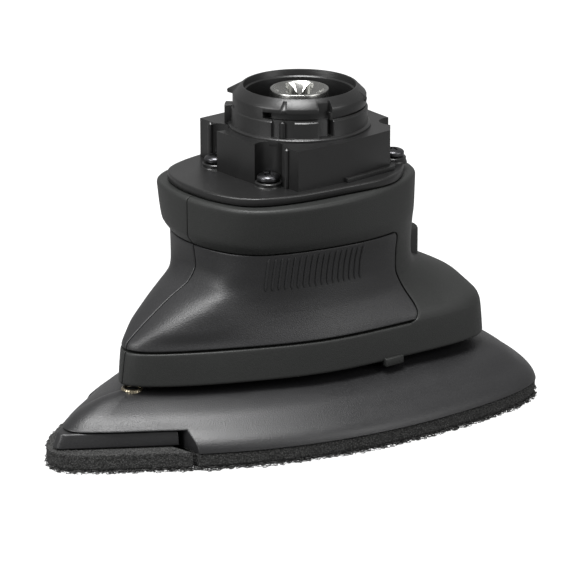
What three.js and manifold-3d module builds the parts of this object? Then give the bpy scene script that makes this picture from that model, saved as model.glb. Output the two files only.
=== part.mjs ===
// Detail-sander head: a quick-change attachment that a multi-tool power unit drives.
// Millimetres, +Z up along the drive axis, origin on that axis in the plane of the hook fabric's
// underside. -X points to the tip, +X to the heel, and the outlines mirror in the plane Y = 0.
import * as THREE from "three";
import { mergeVertices } from "three/addons/utils/BufferGeometryUtils.js";
import Module from "manifold-3d";

const wasm = await Module();
wasm.setup();

// ---------------------------------------------------------------- driving dimensions
const GAP = 0.3; // between pieces that touch on the real object
const FIT = 0.1; // radial clearance of a pressed or running seat
const THROW = 0.8; // eccentricity of the orbit
const ROUND = 20; // sides of a round piece; mating rounds share their sides
const SMALL_ROUND = 10; // sides of a screw or a boss
const COLLAR_ROUND = 36;

// heights of the stack, from the work surface up
const HOOK_THICK = 0.9;
const FOAM_BOTTOM = HOOK_THICK + GAP;
const FOAM_TOP = 4.3;
const PLATEN_BOTTOM = FOAM_TOP + GAP;
const PLATEN_RISE = 10.7; // platen edge to plateau
const PLATEAU = PLATEN_BOTTOM + PLATEN_RISE;
const SKIRT_BOTTOM = PLATEAU + 1.7; // the shadow gap over the platen
const GROOVE_Z = 25.2; // lower edge of the grip panel
const BAND_BOTTOM = 48.5; // upper edge of the grip panel
const SHELL_TOP = 60.5;
const FLANGE_THICK = 1.9;
const BLOCK_HEIGHT = 10.1;
const COLLAR_HEIGHT = 10.2;
const FLANGE_BOTTOM = SHELL_TOP + GAP;
const FLANGE_TOP = FLANGE_BOTTOM + FLANGE_THICK;
const BLOCK_TOP = FLANGE_TOP + BLOCK_HEIGHT;
const COLLAR_TOP = BLOCK_TOP + COLLAR_HEIGHT;

// clamshell
const SEAM_Y = 0;
const GRIP_THICK = 1.9;
const WALL = 4.4; // outer surface to cavity, the grip recess included
const WEB_BOTTOM = 42.3; // web that holds the bearing carrier
const WEB_THICK = 3.4;
const RIB_COUNT = 17;
const RIB_PITCH = 1.55;

// adapter
const COLLAR_R = 16.5;
const CUP_R = 13.9;
const CUP_FLOOR = BLOCK_TOP - 2.8;
const LIP_CHAMFER = 2.2;
const HUB_BOTTOM = 55.5;
const POCKET_R = 3.5; // recess round each adapter screw
const ADAPTER_SCREWS = [[-18.1, 10.4], [-18.1, -10.4], [19.4, 12.8], [19.4, -12.8]];

// drive train
const SHAFT_R = 4;
const SMALL_BEARING = { outer: 11, inner: SHAFT_R, width: 7 };
const LARGE_BEARING = { outer: 14, inner: 6, width: 8 };
const HUB_R = SMALL_BEARING.outer + 3.5; // adapter's hub round the upper bearing
const UPPER_BEARING_Z = 61;
const LOWER_BEARING_Z = 40;
const PLATEN_BEARING_Z = 18;
const SOCKET_R = 7.2;
const SOCKET_TOP = COLLAR_TOP - 1;
const SOCKET_DEPTH = 7.6;
const SOCKET_FLATS = 7.0;
const COUNTERWEIGHT_R = 16;
const COUNTERWEIGHT_Z = 29;
const COUNTERWEIGHT_THICK = 8;
const HUB_WALL = 3.2; // platen hub round its bearing

// tip
const TIP_SPLIT_X = -50.4; // where the tip pad ends and the main pad starts
const TIP_BLOCK_HEIGHT = 3.6;
const TIP_BLOCK_BOTTOM = PLATEN_BOTTOM + 0.7;
const TIP_SCREW_X = -52.3;
const TIP_PEGS = [[-59.4, 4.8], [-59.4, -4.8]]; // they locate the tip block under the platen
const PEG = { radius: 1.5, rise: 3 };

const LEGS = [[-32.4, 6.5], [-32.4, -6.5], [23.6, 13], [23.6, -13]];
const LEG_TOP = 26;
const CLAMSHELL_SCREWS = [[-26.9, 53.6], [-46.9, 21.6], [35.1, 22.4]];

// ---------------------------------------------------------------- finishes
function finish(color, roughness, metalness) {
  return new THREE.MeshStandardMaterial({ color, roughness, metalness });
}
const FINISH = {
  shell: finish(0x3a3c3a, 0.62, 0),
  grip: finish(0x454547, 0.55, 0),
  adapter: finish(0x2b2b2b, 0.45, 0),
  platen: finish(0x444446, 0.5, 0),
  foam: finish(0x4a4a4a, 0.95, 0),
  hooks: finish(0x3c3c3c, 0.95, 0),
  rubber: finish(0x1c1c1c, 0.8, 0),
  blackSteel: finish(0x2a2a2c, 0.35, 0.9),
  steel: finish(0xb8b8b6, 0.28, 1),
  brass: finish(0x8d7a52, 0.35, 1),
  castMetal: finish(0x8f9092, 0.5, 0.9),
};

// ---------------------------------------------------------------- solids
// A closed triangle list as a manifold solid, with its faces turned outward.
function solidOf(geometry) {
  const bare = geometry.clone();
  bare.deleteAttribute("normal");
  bare.deleteAttribute("uv");
  const merged = mergeVertices(bare, 1e-4);
  const index = merged.index.array;
  const kept = [];
  for (let i = 0; i < index.length; i += 3) {
    const [a, b, c] = [index[i], index[i + 1], index[i + 2]];
    if (a !== b && b !== c && c !== a) kept.push(a, b, c);
  }
  const position = merged.attributes.position.array;
  const corner = (k) => new THREE.Vector3().fromArray(position, 3 * k);
  let volume = 0;
  for (let i = 0; i < kept.length; i += 3) {
    volume += corner(kept[i]).dot(corner(kept[i + 1]).cross(corner(kept[i + 2])));
  }
  if (volume < 0) kept.reverse();
  const mesh = new wasm.Mesh({ numProp: 3, vertProperties: position, triVerts: Uint32Array.from(kept) });
  return new wasm.Manifold(mesh);
}

function geometryOf(solid) {
  const mesh = solid.getMesh();
  const geometry = new THREE.BufferGeometry();
  geometry.setAttribute("position", new THREE.BufferAttribute(Float32Array.from(mesh.vertProperties), 3));
  geometry.setIndex(new THREE.BufferAttribute(Uint32Array.from(mesh.triVerts), 1));
  geometry.computeVertexNormals();
  return geometry;
}

const join = (...solids) => solids.reduce((sum, next) => sum.add(next));
const cut = (solid, ...tools) => tools.reduce((rest, tool) => rest.subtract(tool), solid);

// Upright cylinder from z0 to z1.
function disc(radius, z0, z1, x = 0, y = 0, sides = ROUND) {
  const geometry = new THREE.CylinderGeometry(radius, radius, z1 - z0, sides);
  return solidOf(geometry.rotateX(Math.PI / 2).translate(x, y, (z0 + z1) / 2));
}

// Cylinder along Y from y0 to y1.
function bar(radius, x, z, y0, y1, sides = SMALL_ROUND) {
  return solidOf(new THREE.CylinderGeometry(radius, radius, y1 - y0, sides).translate(x, (y0 + y1) / 2, z));
}

function slab(x0, x1, y0, y1, z0, z1) {
  const geometry = new THREE.BoxGeometry(x1 - x0, y1 - y0, z1 - z0);
  return solidOf(geometry.translate((x0 + x1) / 2, (y0 + y1) / 2, (z0 + z1) / 2));
}

// Solid of revolution about Z from [radius, z] pairs that start and end on the axis or close.
function turned(profile, x = 0, y = 0, sides = ROUND) {
  const points = profile.map(([r, z]) => new THREE.Vector2(r, z));
  return solidOf(new THREE.LatheGeometry(points, sides).rotateX(Math.PI / 2).translate(x, y, 0));
}

function tubeRing(outer, inner, z0, z1, x = 0, y = 0, sides = ROUND) {
  return turned([[inner, z0], [outer, z0], [outer, z1], [inner, z1], [inner, z0]], x, y, sides);
}

// Prism from a plan outline of [x, y] pairs.
function prism(outline, z0, z1) {
  const shape = new THREE.Shape(outline.map(([x, y]) => new THREE.Vector2(x, y)));
  const geometry = new THREE.ExtrudeGeometry(shape, { depth: z1 - z0, bevelEnabled: false });
  return solidOf(geometry.translate(0, 0, z0));
}

// Closed body through rings of equal point count, from the lowest ring to the highest.
function loft(rings) {
  const flat = (ring) => ring.map((p) => new THREE.Vector2(p.x, p.y));
  const clockwise = THREE.ShapeUtils.isClockWise(flat(rings[0]));
  const turns = clockwise ? rings.map((ring) => ring.toReversed()) : rings;
  const count = turns[0].length;
  const index = [];
  for (let r = 0; r + 1 < turns.length; r += 1) {
    for (let k = 0; k < count; k += 1) {
      const [a, b] = [r * count + k, r * count + ((k + 1) % count)];
      index.push(a, b, b + count, a, b + count, a + count);
    }
  }
  const cap = (ring, first, upward) => {
    const plan = flat(ring);
    for (const face of THREE.ShapeUtils.triangulateShape(plan, [])) {
      const isUp = !THREE.ShapeUtils.isClockWise(face.map((k) => plan[k]));
      index.push(...(isUp === upward ? face : face.toReversed()).map((k) => first + k));
    }
  };
  cap(turns[0], 0, false);
  cap(turns.at(-1), (turns.length - 1) * count, true);
  const geometry = new THREE.BufferGeometry();
  const positions = turns.flat().flatMap((p) => [...p]);
  geometry.setAttribute("position", new THREE.Float32BufferAttribute(positions, 3));
  geometry.setIndex(index);
  return solidOf(geometry);
}

// Smooth closed ring at height z through a half outline (front to rear, Y >= 0) and its mirror.
function ringThrough(half, z, perSegment = 2) {
  const mirrored = half.slice(1, -1).reverse().map(([x, y]) => [x, -y]);
  const points = [...half, ...mirrored].map(([x, y]) => new THREE.Vector3(x, y, z));
  const curve = new THREE.CatmullRomCurve3(points, true, "centripetal");
  const samples = points.length * perSegment;
  return Array.from({ length: samples }, (_, k) => curve.getPoint(k / samples));
}

// Moves each point of a ring towards the middle line between x0 and x1 by a distance.
function shrink(ring, distance, x0, x1, z = ring[0].z) {
  return ring.map((p) => {
    const aim = new THREE.Vector3(THREE.MathUtils.clamp(p.x, x0, x1), 0, p.z);
    return p.clone().add(aim.sub(p).setLength(distance)).setZ(z);
  });
}

// ---------------------------------------------------------------- outlines
// Half outline of the sanding pad: nose, flank, shoulder and heel as Bezier curves.
const PAD_TIP_X = -76.8;
const PAD_HEEL_X = 59.2;
const PAD_HALF_WIDTH = 41;
function padRing(z) {
  const path = new THREE.Path();
  path.moveTo(PAD_TIP_X, 0);
  path.bezierCurveTo(PAD_TIP_X, 6.4, -66, 12.2, -54.9, 19.6);
  path.bezierCurveTo(-38.4, 31.5, -14.4, PAD_HALF_WIDTH, 15.6, PAD_HALF_WIDTH);
  path.bezierCurveTo(28.6, PAD_HALF_WIDTH, 42.6, PAD_HALF_WIDTH - 1, 48.6, PAD_HALF_WIDTH - 6);
  path.bezierCurveTo(55.1, 29, PAD_HEEL_X, 12, PAD_HEEL_X, 0);
  const half = path.getSpacedPoints(20);
  const mirrored = half.slice(1, -1).reverse().map((p) => new THREE.Vector2(p.x, -p.y));
  return [...half, ...mirrored].map((p) => new THREE.Vector3(p.x, p.y, z));
}
const PAD_SPINE = [-43.6, 21.6];

// The clamshell's sections, each a half outline from the nose round to the rear.
const SHELL_SECTIONS = [
  [SKIRT_BOTTOM, [
    [-55.4, 0], [-52.4, 3.2], [-41.9, 11.4], [-27.9, 19.2], [-10.9, 25.2],
    [11.6, 27.8], [33.1, 28], [40.8, 22.8], [43.6, 0],
  ]],
  [GROOVE_Z, [
    [-54, 0], [-51.2, 3], [-41, 11], [-27.4, 18.9], [-10.7, 25],
    [11.1, 27.4], [32.6, 27.4], [40.2, 22.4], [43.1, 0],
  ]],
  [27.4, [
    [-53.4, 0], [-50.4, 2.9], [-40.4, 10.4], [-27, 18.3], [-10.4, 24.4],
    [11.1, 26.8], [32.2, 26.6], [39.6, 21.8], [42.5, 0],
  ]],
  [30.5, [
    [-49.4, 0], [-47.6, 3.8], [-38.9, 10.4], [-26.4, 17.4], [-10.4, 23.2],
    [10.6, 25], [27.6, 22], [37.6, 14.5], [39.8, 0],
  ]],
  [33.5, [
    [-44.9, 0], [-43.4, 4], [-36.8, 10.4], [-25.8, 16.8], [-10.4, 22.3],
    [10.1, 23.6], [23.6, 19.2], [32.6, 10.5], [34.1, 0],
  ]],
  [36.5, [
    [-40, 0], [-39, 4.6], [-34.8, 10.6], [-25.4, 16.5], [-10.4, 21.8],
    [9.6, 23], [21, 18.4], [27.4, 10.6], [28.6, 0],
  ]],
  [39.5, [
    [-34.6, 0], [-34.3, 4.6], [-32.6, 10.6], [-25.4, 16.6], [-10.4, 21.6],
    [9.1, 22.8], [20.2, 18.4], [25.8, 11], [27.2, 0],
  ]],
  [43, [
    [-32.7, 0], [-32.6, 5], [-31.4, 11.4], [-25.4, 17.2], [-10.4, 22],
    [9.1, 23], [20, 18.6], [25.6, 11.4], [27, 0],
  ]],
  [BAND_BOTTOM, [
    [-33.4, 0], [-33, 5.4], [-30.9, 12], [-26.2, 17.8], [-11.4, 23.2],
    [8.1, 24.4], [20.2, 19], [25.6, 12], [27, 0],
  ]],
  [51.2, [
    [-35, 0], [-34.4, 6], [-32.2, 13.4], [-27.4, 19.4], [-12.4, 24.4],
    [7.1, 25], [20.4, 19.2], [25.8, 12.2], [27.2, 0],
  ]],
  [SHELL_TOP - 0.9, [
    [-35.1, 0], [-34.6, 6.4], [-32.6, 14.8], [-27.8, 20.8], [-13.9, 25.3],
    [3.6, 25], [20.4, 19.4], [26, 12.2], [27.6, 0],
  ]],
  [SHELL_TOP, [
    [-34.1, 0], [-33.6, 6.2], [-31.7, 14.2], [-27.2, 20], [-13.7, 24.4],
    [3.6, 24.1], [19.8, 18.7], [25.2, 11.9], [26.7, 0],
  ]],
];
const SHELL_SPINE = [-26.4, 15.6];
const WAIST_SECTION = 7;
const shellRings = SHELL_SECTIONS.map(([z, half]) => ringThrough(half, z));
const shellInset = (d) => loft(shellRings.map((ring) => shrink(ring, d, ...SHELL_SPINE)));

// ---------------------------------------------------------------- the list of pieces
const model = new THREE.Group();
function piece(name, solid, material) {
  const mesh = new THREE.Mesh(geometryOf(solid), material);
  mesh.name = name;
  model.add(mesh);
}

// ---------------------------------------------------------------- fasteners
const SCREW_SHANK = 1.3;
const SCREW_HEAD = 2.8;
const SCREW_LENGTH = 12;

// Pan-head screw along -Z, its head's seat at the origin, with a cross recess.
function panScrew(shank, length, head) {
  const rise = head * 0.62;
  const body = turned([
    [0, -length], [shank, -length], [shank, 0],
    [head, 0], [head, rise * 0.5], [head * 0.6, rise], [0, rise],
  ], 0, 0, SMALL_ROUND);
  const [arm, slot, floor] = [head * 0.55, head * 0.11, rise * 0.35];
  return cut(
    body,
    slab(-arm, arm, -slot, slot, floor, rise + 1),
    slab(-slot, slot, -arm, arm, floor, rise + 1),
  );
}

// ---------------------------------------------------------------- clamshell and grips
const BOSS_R = 3.4;
const WEB_HOLE_R = 15.3;
const HEAD_POCKET_R = SCREW_HEAD + GAP;

// The part of the side that the grip panel fills, seen along Y and grown by a margin.
function gripRegion(margin) {
  const [top, bottom] = [BAND_BOTTOM - GAP + margin, GROOVE_Z + GAP - margin];
  const [front, corner, slope, rear] = [-70, 12.2, 16 + margin, 12.7 + margin];
  const shape = new THREE.Shape();
  shape.moveTo(front, bottom);
  shape.lineTo(corner, bottom);
  shape.quadraticCurveTo(slope + 1, bottom, slope, 29);
  shape.lineTo(rear, 38);
  shape.lineTo(rear, top - 3);
  shape.quadraticCurveTo(rear, top, rear - 3, top);
  shape.lineTo(front, top);
  const geometry = new THREE.ExtrudeGeometry(shape, { depth: 80, bevelEnabled: false, curveSegments: 4 });
  return solidOf(geometry.rotateX(Math.PI / 2).translate(0, 40, 0));
}

// Y of a ring's flank at a given X, on the side +1 or -1.
function flankY(ring, x, side) {
  const flank = ring.filter((p) => p.y * side > 1).sort((a, b) => a.x - b.x);
  const next = flank.findIndex((p) => p.x > x);
  const [a, b] = [flank[next - 1], flank[next]];
  return THREE.MathUtils.mapLinear(x, a.x, b.x, a.y, b.y);
}

// Upright finger ribs on the waist of one grip.
const RIB_FRONT_X = -24.4;
const RIB_PROUD = 0.45;
const RIB_WIDTH = 0.8;
const RIB_Z = [38.4, 47];
function gripRibs(side) {
  const ribs = Array.from({ length: RIB_COUNT }, (_, k) => {
    const x = RIB_FRONT_X + k * RIB_PITCH;
    const y = flankY(shellRings[WAIST_SECTION], x, side);
    const depth = [y - side, y + side * RIB_PROUD].sort((a, b) => a - b);
    return slab(x - RIB_WIDTH / 2, x + RIB_WIDTH / 2, ...depth, ...RIB_Z);
  });
  return join(...ribs);
}

const outerShell = shellInset(0);
const CAVITY_SECTIONS = [0, 2, 5, 6, 7, 9]; // the sections that the inside follows
const CEILING_THICK = 3;
const [SPINE_X, SPINE_HALF, SPINE_Z] = [31.9, 9, [31, 42.9]]; // upright rib on the column's rear

function clamshell() {
  const inner = CAVITY_SECTIONS.map((k) => shrink(shellRings[k], WALL, ...SHELL_SPINE));
  const mouth = shrink(shellRings[0], WALL, ...SHELL_SPINE, SKIRT_BOTTOM - 1);
  const ceiling = shrink(shellRings.at(-2), WALL, ...SHELL_SPINE, SHELL_TOP - CEILING_THICK);
  const cavity = loft([mouth, ...inner, ceiling]);
  const recess = cut(gripRegion(GAP), shellInset(GRIP_THICK + GAP));
  let shell = cut(outerShell, cavity, recess);
  // rear spine behind the column
  shell = shell.add(cut(slab(23.6, SPINE_X, -SPINE_HALF, SPINE_HALF, ...SPINE_Z), cavity));
  // web round the bearing carrier
  const web = slab(-60, 60, -60, 60, WEB_BOTTOM, WEB_BOTTOM + WEB_THICK).intersect(shellInset(WALL - 0.6));
  shell = shell.add(cut(web, disc(WEB_HOLE_R, WEB_BOTTOM - 1, WEB_BOTTOM + WEB_THICK + 1)));
  // posts for the adapter's screws, the supports' stops and the shells' own screws
  for (const [x, y] of ADAPTER_SCREWS) {
    const post = disc(BOSS_R, WEB_BOTTOM + 1, SHELL_TOP - 1, x, y, SMALL_ROUND).intersect(outerShell);
    shell = shell.add(post);
  }
  for (const [x, y] of LEGS) {
    const stop = disc(BOSS_R - 0.6, LEG_TOP + 0.6, 40, x, y, SMALL_ROUND);
    shell = shell.add(stop.intersect(shellInset(GRIP_THICK + GAP)));
  }
  for (const [x, z] of CLAMSHELL_SCREWS) {
    shell = shell.add(bar(BOSS_R, x, z, -40, 40).intersect(shellInset(GRIP_THICK + GAP)));
  }
  shell = cut(shell, disc(HUB_R + GAP, SHELL_TOP - 4, SHELL_TOP + 1));
  for (const [x, y] of ADAPTER_SCREWS) {
    const holeBottom = FLANGE_TOP - SCREW_LENGTH - 1;
    shell = cut(shell, disc(SCREW_SHANK + GAP, holeBottom, SHELL_TOP + 1, x, y, SMALL_ROUND));
  }
  for (const [x, z] of CLAMSHELL_SCREWS) {
    const seat = clamshellSeat(x, z);
    shell = cut(
      shell,
      bar(SCREW_SHANK + GAP, x, z, seat - SCREW_LENGTH - 1, seat + 1),
      bar(HEAD_POCKET_R, x, z, seat - GAP, 45),
    );
  }
  return shell;
}

// Y of the seat of a clamshell screw's head, sunk into the left shell.
const HEAD_SINK = 3.2;
function clamshellSeat(x, z) {
  const ring = shellRings.findLast((candidate) => candidate[0].z <= z);
  return flankY(ring, x, 1) - HEAD_SINK;
}

const leftSide = slab(-90, 90, SEAM_Y + GAP / 2, 90, -5, 90);
const rightSide = slab(-90, 90, -90, SEAM_Y - GAP / 2, -5, 90);
const shellWhole = clamshell();
piece("housing_left", shellWhole.intersect(leftSide), FINISH.shell);
piece("housing_right", shellWhole.intersect(rightSide), FINISH.shell);

function grip(side, half) {
  const screwHoles = CLAMSHELL_SCREWS.map(([x, z]) => bar(HEAD_POCKET_R + GAP, x, z, 0, 45));
  const panel = cut(outerShell.add(gripRibs(side)), shellInset(GRIP_THICK));
  return cut(panel.intersect(gripRegion(0)).intersect(half), ...screwHoles);
}
piece("grip_left", grip(1, leftSide), FINISH.grip);
piece("grip_right", grip(-1, rightSide), FINISH.grip);

const sideScrew = () => panScrew(SCREW_SHANK, SCREW_LENGTH, SCREW_HEAD);
CLAMSHELL_SCREWS.forEach(([x, z], k) => {
  const placed = sideScrew().rotate([-90, 0, 0]).translate([x, clamshellSeat(x, z), z]);
  piece(`clamshell_screw_${k + 1}`, placed, FINISH.blackSteel);
});

// ---------------------------------------------------------------- adapter
const FLANGE_HALF = [
  [-33.2, 0], [-32.8, 6], [-30.4, 13.6], [-26.4, 18], [-16.3, 21.4], [-2.4, 23], [10.6, 23],
  [18.6, 17.8], [23.2, 10.8], [24.4, 0],
];
const BLOCK_HALF = [
  [-20.2, 0], [-20, 7.7], [-16, 13.2], [-16, 19.4], [-1.4, 20], [13.5, 18.6],
  [14.8, 17.2], [20.6, 10.4], [21.4, 0],
];
const SCREW_BOSS = { radius: 3.3, rise: 1.2 };
const LIP_R = 14.38;
const NECK_R = 14.9; // floor of the bayonet slots
const LEDGE_R = 17.6; // foot of the collar
const SLOT_Z = [COLLAR_TOP - 5.0, COLLAR_TOP - 3.2];
// polar angles, in degrees, of what the bayonet repeats at a half turn
const BAYONET = { slot: [-160.8, -110.1], channel: [-110.1, -101.6], step: [-101.6, -38] };
const RIB_ANGLES = [-142.7, 127.3];
const SOCKET_BORE_R = 8.4; // adapter's bore under the cup
const CIRCLIP = {
  groove: SMALL_BEARING.outer + 1,
  outer: SMALL_BEARING.outer + 0.8,
  inner: SMALL_BEARING.outer - 1.2,
  z: UPPER_BEARING_Z - 1.6,
  thick: 1.2,
  halfOpening: 18, // degrees
};

// Sector of a ring between two polar angles.
function sector(inner, outer, z0, z1, fromDeg, toDeg, steps = 5) {
  const at = (r, k) => {
    const a = THREE.MathUtils.degToRad(fromDeg + ((toDeg - fromDeg) * k) / steps);
    return [r * Math.cos(a), r * Math.sin(a)];
  };
  const arc = Array.from({ length: steps + 1 }, (_, k) => k);
  return prism([...arc.map((k) => at(outer, k)), ...arc.reverse().map((k) => at(inner, k))], z0, z1);
}

function adapter() {
  const mirror = (half) => [...half, ...half.slice(1, -1).reverse().map(([x, y]) => [x, -y])];
  const plate = loft([
    ringThrough(FLANGE_HALF, FLANGE_BOTTOM),
    ringThrough(FLANGE_HALF, FLANGE_TOP - 0.4),
    shrink(ringThrough(FLANGE_HALF, FLANGE_TOP), 0.4, ...SHELL_SPINE),
  ]);
  let block = prism(mirror(BLOCK_HALF), FLANGE_TOP - 0.5, BLOCK_TOP);
  const bosses = [];
  for (const [x, y] of ADAPTER_SCREWS) {
    block = cut(block, disc(POCKET_R, FLANGE_TOP - 1, BLOCK_TOP + 1, x, y));
    bosses.push(disc(SCREW_BOSS.radius, FLANGE_TOP - 0.5, FLANGE_TOP + SCREW_BOSS.rise, x, y, SMALL_ROUND));
  }
  const collar = turned([
    [0, BLOCK_TOP - 1], [LEDGE_R, BLOCK_TOP - 1], [LEDGE_R, BLOCK_TOP + 0.5], [COLLAR_R, BLOCK_TOP + 0.8],
    [COLLAR_R, COLLAR_TOP - LIP_CHAMFER], [LIP_R, COLLAR_TOP], [0, COLLAR_TOP],
  ], 0, 0, COLLAR_ROUND);
  const hub = disc(HUB_R, HUB_BOTTOM, FLANGE_BOTTOM + 0.5);
  let body = join(plate, block, collar, hub, ...bosses);
  for (const angle of RIB_ANGLES) {
    const rib = new THREE.CylinderGeometry(1.1, 1.9, COLLAR_TOP - SLOT_Z[1], 3);
    rib.rotateX(Math.PI / 2).rotateZ(Math.PI / 2);
    rib.translate(COLLAR_R, 0, (COLLAR_TOP + SLOT_Z[1]) / 2 - 0.6);
    body = body.add(solidOf(rib.rotateZ(THREE.MathUtils.degToRad(angle))));
  }
  for (const turn of [0, 180]) {
    const turnedBy = ([a, b]) => [a + turn, b + turn];
    body = cut(
      body,
      sector(NECK_R, COLLAR_R + 3, ...SLOT_Z, ...turnedBy(BAYONET.slot)),
      sector(NECK_R + 0.4, COLLAR_R + 3, BLOCK_TOP + 0.8, COLLAR_TOP + 1, ...turnedBy(BAYONET.channel), 3),
      sector(COLLAR_R - 0.5, COLLAR_R + 3, SLOT_Z[0] - 0.2, SLOT_Z[0] + 0.4, ...turnedBy(BAYONET.step)),
    );
  }
  const cup = turned([
    [0, CUP_FLOOR], [CUP_R, CUP_FLOOR], [CUP_R, COLLAR_TOP - 1.2], [LIP_R + 0.1, COLLAR_TOP + 0.1],
    [0, COLLAR_TOP + 0.1],
  ], 0, 0, COLLAR_ROUND);
  const seatTop = UPPER_BEARING_Z + SMALL_BEARING.width + GAP;
  body = cut(
    body,
    cup,
    disc(SOCKET_BORE_R, HUB_BOTTOM - 1, CUP_FLOOR + 1),
    disc(SMALL_BEARING.outer + FIT, HUB_BOTTOM - 1, seatTop),
    disc(CIRCLIP.groove, CIRCLIP.z - FIT, CIRCLIP.z + CIRCLIP.thick + FIT),
  );
  for (const [x, y] of ADAPTER_SCREWS) {
    body = cut(body, disc(SCREW_SHANK + GAP, FLANGE_BOTTOM - 1, FLANGE_TOP + 2, x, y, SMALL_ROUND));
  }
  return body;
}
piece("adapter", adapter(), FINISH.adapter);

ADAPTER_SCREWS.forEach(([x, y], k) => {
  const placed = panScrew(SCREW_SHANK, SCREW_LENGTH, SCREW_HEAD)
    .rotate([0, 0, 25 + 40 * k])
    .translate([x, y, FLANGE_TOP + SCREW_BOSS.rise + GAP]);
  piece(`adapter_screw_${k + 1}`, placed, FINISH.blackSteel);
});

const clipGap = sector(
  CIRCLIP.inner - 2, CIRCLIP.outer + 2, CIRCLIP.z - 1, CIRCLIP.z + CIRCLIP.thick + 1,
  -CIRCLIP.halfOpening, CIRCLIP.halfOpening, 2,
);
const clip = tubeRing(CIRCLIP.outer, CIRCLIP.inner, CIRCLIP.z, CIRCLIP.z + CIRCLIP.thick);
piece("upper_bearing_circlip", cut(clip, clipGap), FINISH.steel);

// ---------------------------------------------------------------- bearings
const RACE_WALL = 0.19; // race thickness as a share of the section between bore and rim
function bearing(name, size, z, x = 0) {
  const section = size.outer - size.inner;
  const race = section * RACE_WALL * 1.5;
  const top = z + size.width;
  piece(`${name}_outer_race`, tubeRing(size.outer, size.outer - race, z, top, x), FINISH.steel);
  piece(`${name}_inner_race`, tubeRing(size.inner + race, size.inner, z, top, x), FINISH.steel);
  const cage = [size.outer - race - GAP, size.inner + race + GAP];
  piece(`${name}_balls_and_cage`, tubeRing(...cage, z + 1, top - 1, x), FINISH.steel);
}
bearing("upper_bearing", SMALL_BEARING, UPPER_BEARING_Z);
bearing("lower_bearing", SMALL_BEARING, LOWER_BEARING_Z);
bearing("platen_bearing", LARGE_BEARING, PLATEN_BEARING_Z, THROW);

// Carrier of the lower bearing: a spool whose groove the shells' web grips.
const CARRIER = { body: WEB_HOLE_R - GAP, flange: 17, bottom: 38.6, top: 49 };
const carrierBore = SMALL_BEARING.outer + FIT;
piece("bearing_carrier", cut(
  turned([
    [carrierBore, CARRIER.bottom], [CARRIER.flange, CARRIER.bottom], [CARRIER.flange, WEB_BOTTOM - GAP],
    [CARRIER.body, WEB_BOTTOM - GAP], [CARRIER.body, WEB_BOTTOM + WEB_THICK + GAP],
    [CARRIER.flange, WEB_BOTTOM + WEB_THICK + GAP], [CARRIER.flange, CARRIER.top],
    [SHAFT_R + 3, CARRIER.top], [SHAFT_R + 3, LOWER_BEARING_Z + SMALL_BEARING.width + GAP],
    [carrierBore, LOWER_BEARING_Z + SMALL_BEARING.width + GAP], [carrierBore, CARRIER.bottom],
  ]),
  slab(-24, 0, -24, 24, CARRIER.top - 1, CARRIER.top + 1),
), FINISH.castMetal);

// ---------------------------------------------------------------- drive train
const SPINDLE_BOTTOM = COUNTERWEIGHT_Z + 0.6;
const SPINDLE_TOP = SOCKET_TOP - SOCKET_DEPTH - GAP;
const SHOULDER_R = 5.4;
piece("spindle", turned([
  [0, SPINDLE_BOTTOM], [SHAFT_R - FIT, SPINDLE_BOTTOM],
  [SHAFT_R - FIT, LOWER_BEARING_Z + SMALL_BEARING.width + GAP],
  [SHOULDER_R, LOWER_BEARING_Z + SMALL_BEARING.width + GAP], [SHOULDER_R, UPPER_BEARING_Z - GAP],
  [SHAFT_R - FIT, UPPER_BEARING_Z - GAP], [SHAFT_R - FIT, SPINDLE_TOP - 0.6], [SHAFT_R - 0.6, SPINDLE_TOP],
  [0, SPINDLE_TOP],
]), FINISH.steel);

// Drive socket: a hexagonal bore under a cone with six lead-in grooves.
function driveSocket() {
  const bottom = UPPER_BEARING_Z + SMALL_BEARING.width + GAP;
  const hex = SOCKET_FLATS / Math.sqrt(3);
  const floor = SOCKET_TOP - SOCKET_DEPTH;
  let body = turned([
    [0, bottom], [SHAFT_R + 1.6, bottom], [SHAFT_R + 1.6, CUP_FLOOR + 0.6], [SOCKET_R, CUP_FLOOR + 1.2],
    [SOCKET_R, SOCKET_TOP - 0.5], [SOCKET_R - 0.5, SOCKET_TOP], [0, SOCKET_TOP],
  ]);
  const cone = turned([
    [0, SOCKET_TOP - 2.2], [hex - 0.2, SOCKET_TOP - 2.2],
    [SOCKET_R - 1.1, SOCKET_TOP + 0.05], [0, SOCKET_TOP + 0.05],
  ]);
  const bore = solidOf(new THREE.CylinderGeometry(hex, hex, SOCKET_DEPTH + 1, 6).rotateX(Math.PI / 2)
    .translate(0, 0, floor + (SOCKET_DEPTH + 1) / 2));
  body = cut(body, cone, bore, disc(SHAFT_R, bottom - 1, floor + 0.1));
  for (let k = 0; k < 6; k += 1) {
    const groove = new THREE.BoxGeometry(3.4, 1.3, 2.4).translate(SOCKET_R - 2.6, 0, SOCKET_TOP - 0.9);
    body = cut(body, solidOf(groove.rotateZ((k * Math.PI) / 3 + Math.PI / 6)));
  }
  return body;
}
piece("drive_socket", driveSocket(), FINISH.steel);

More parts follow.
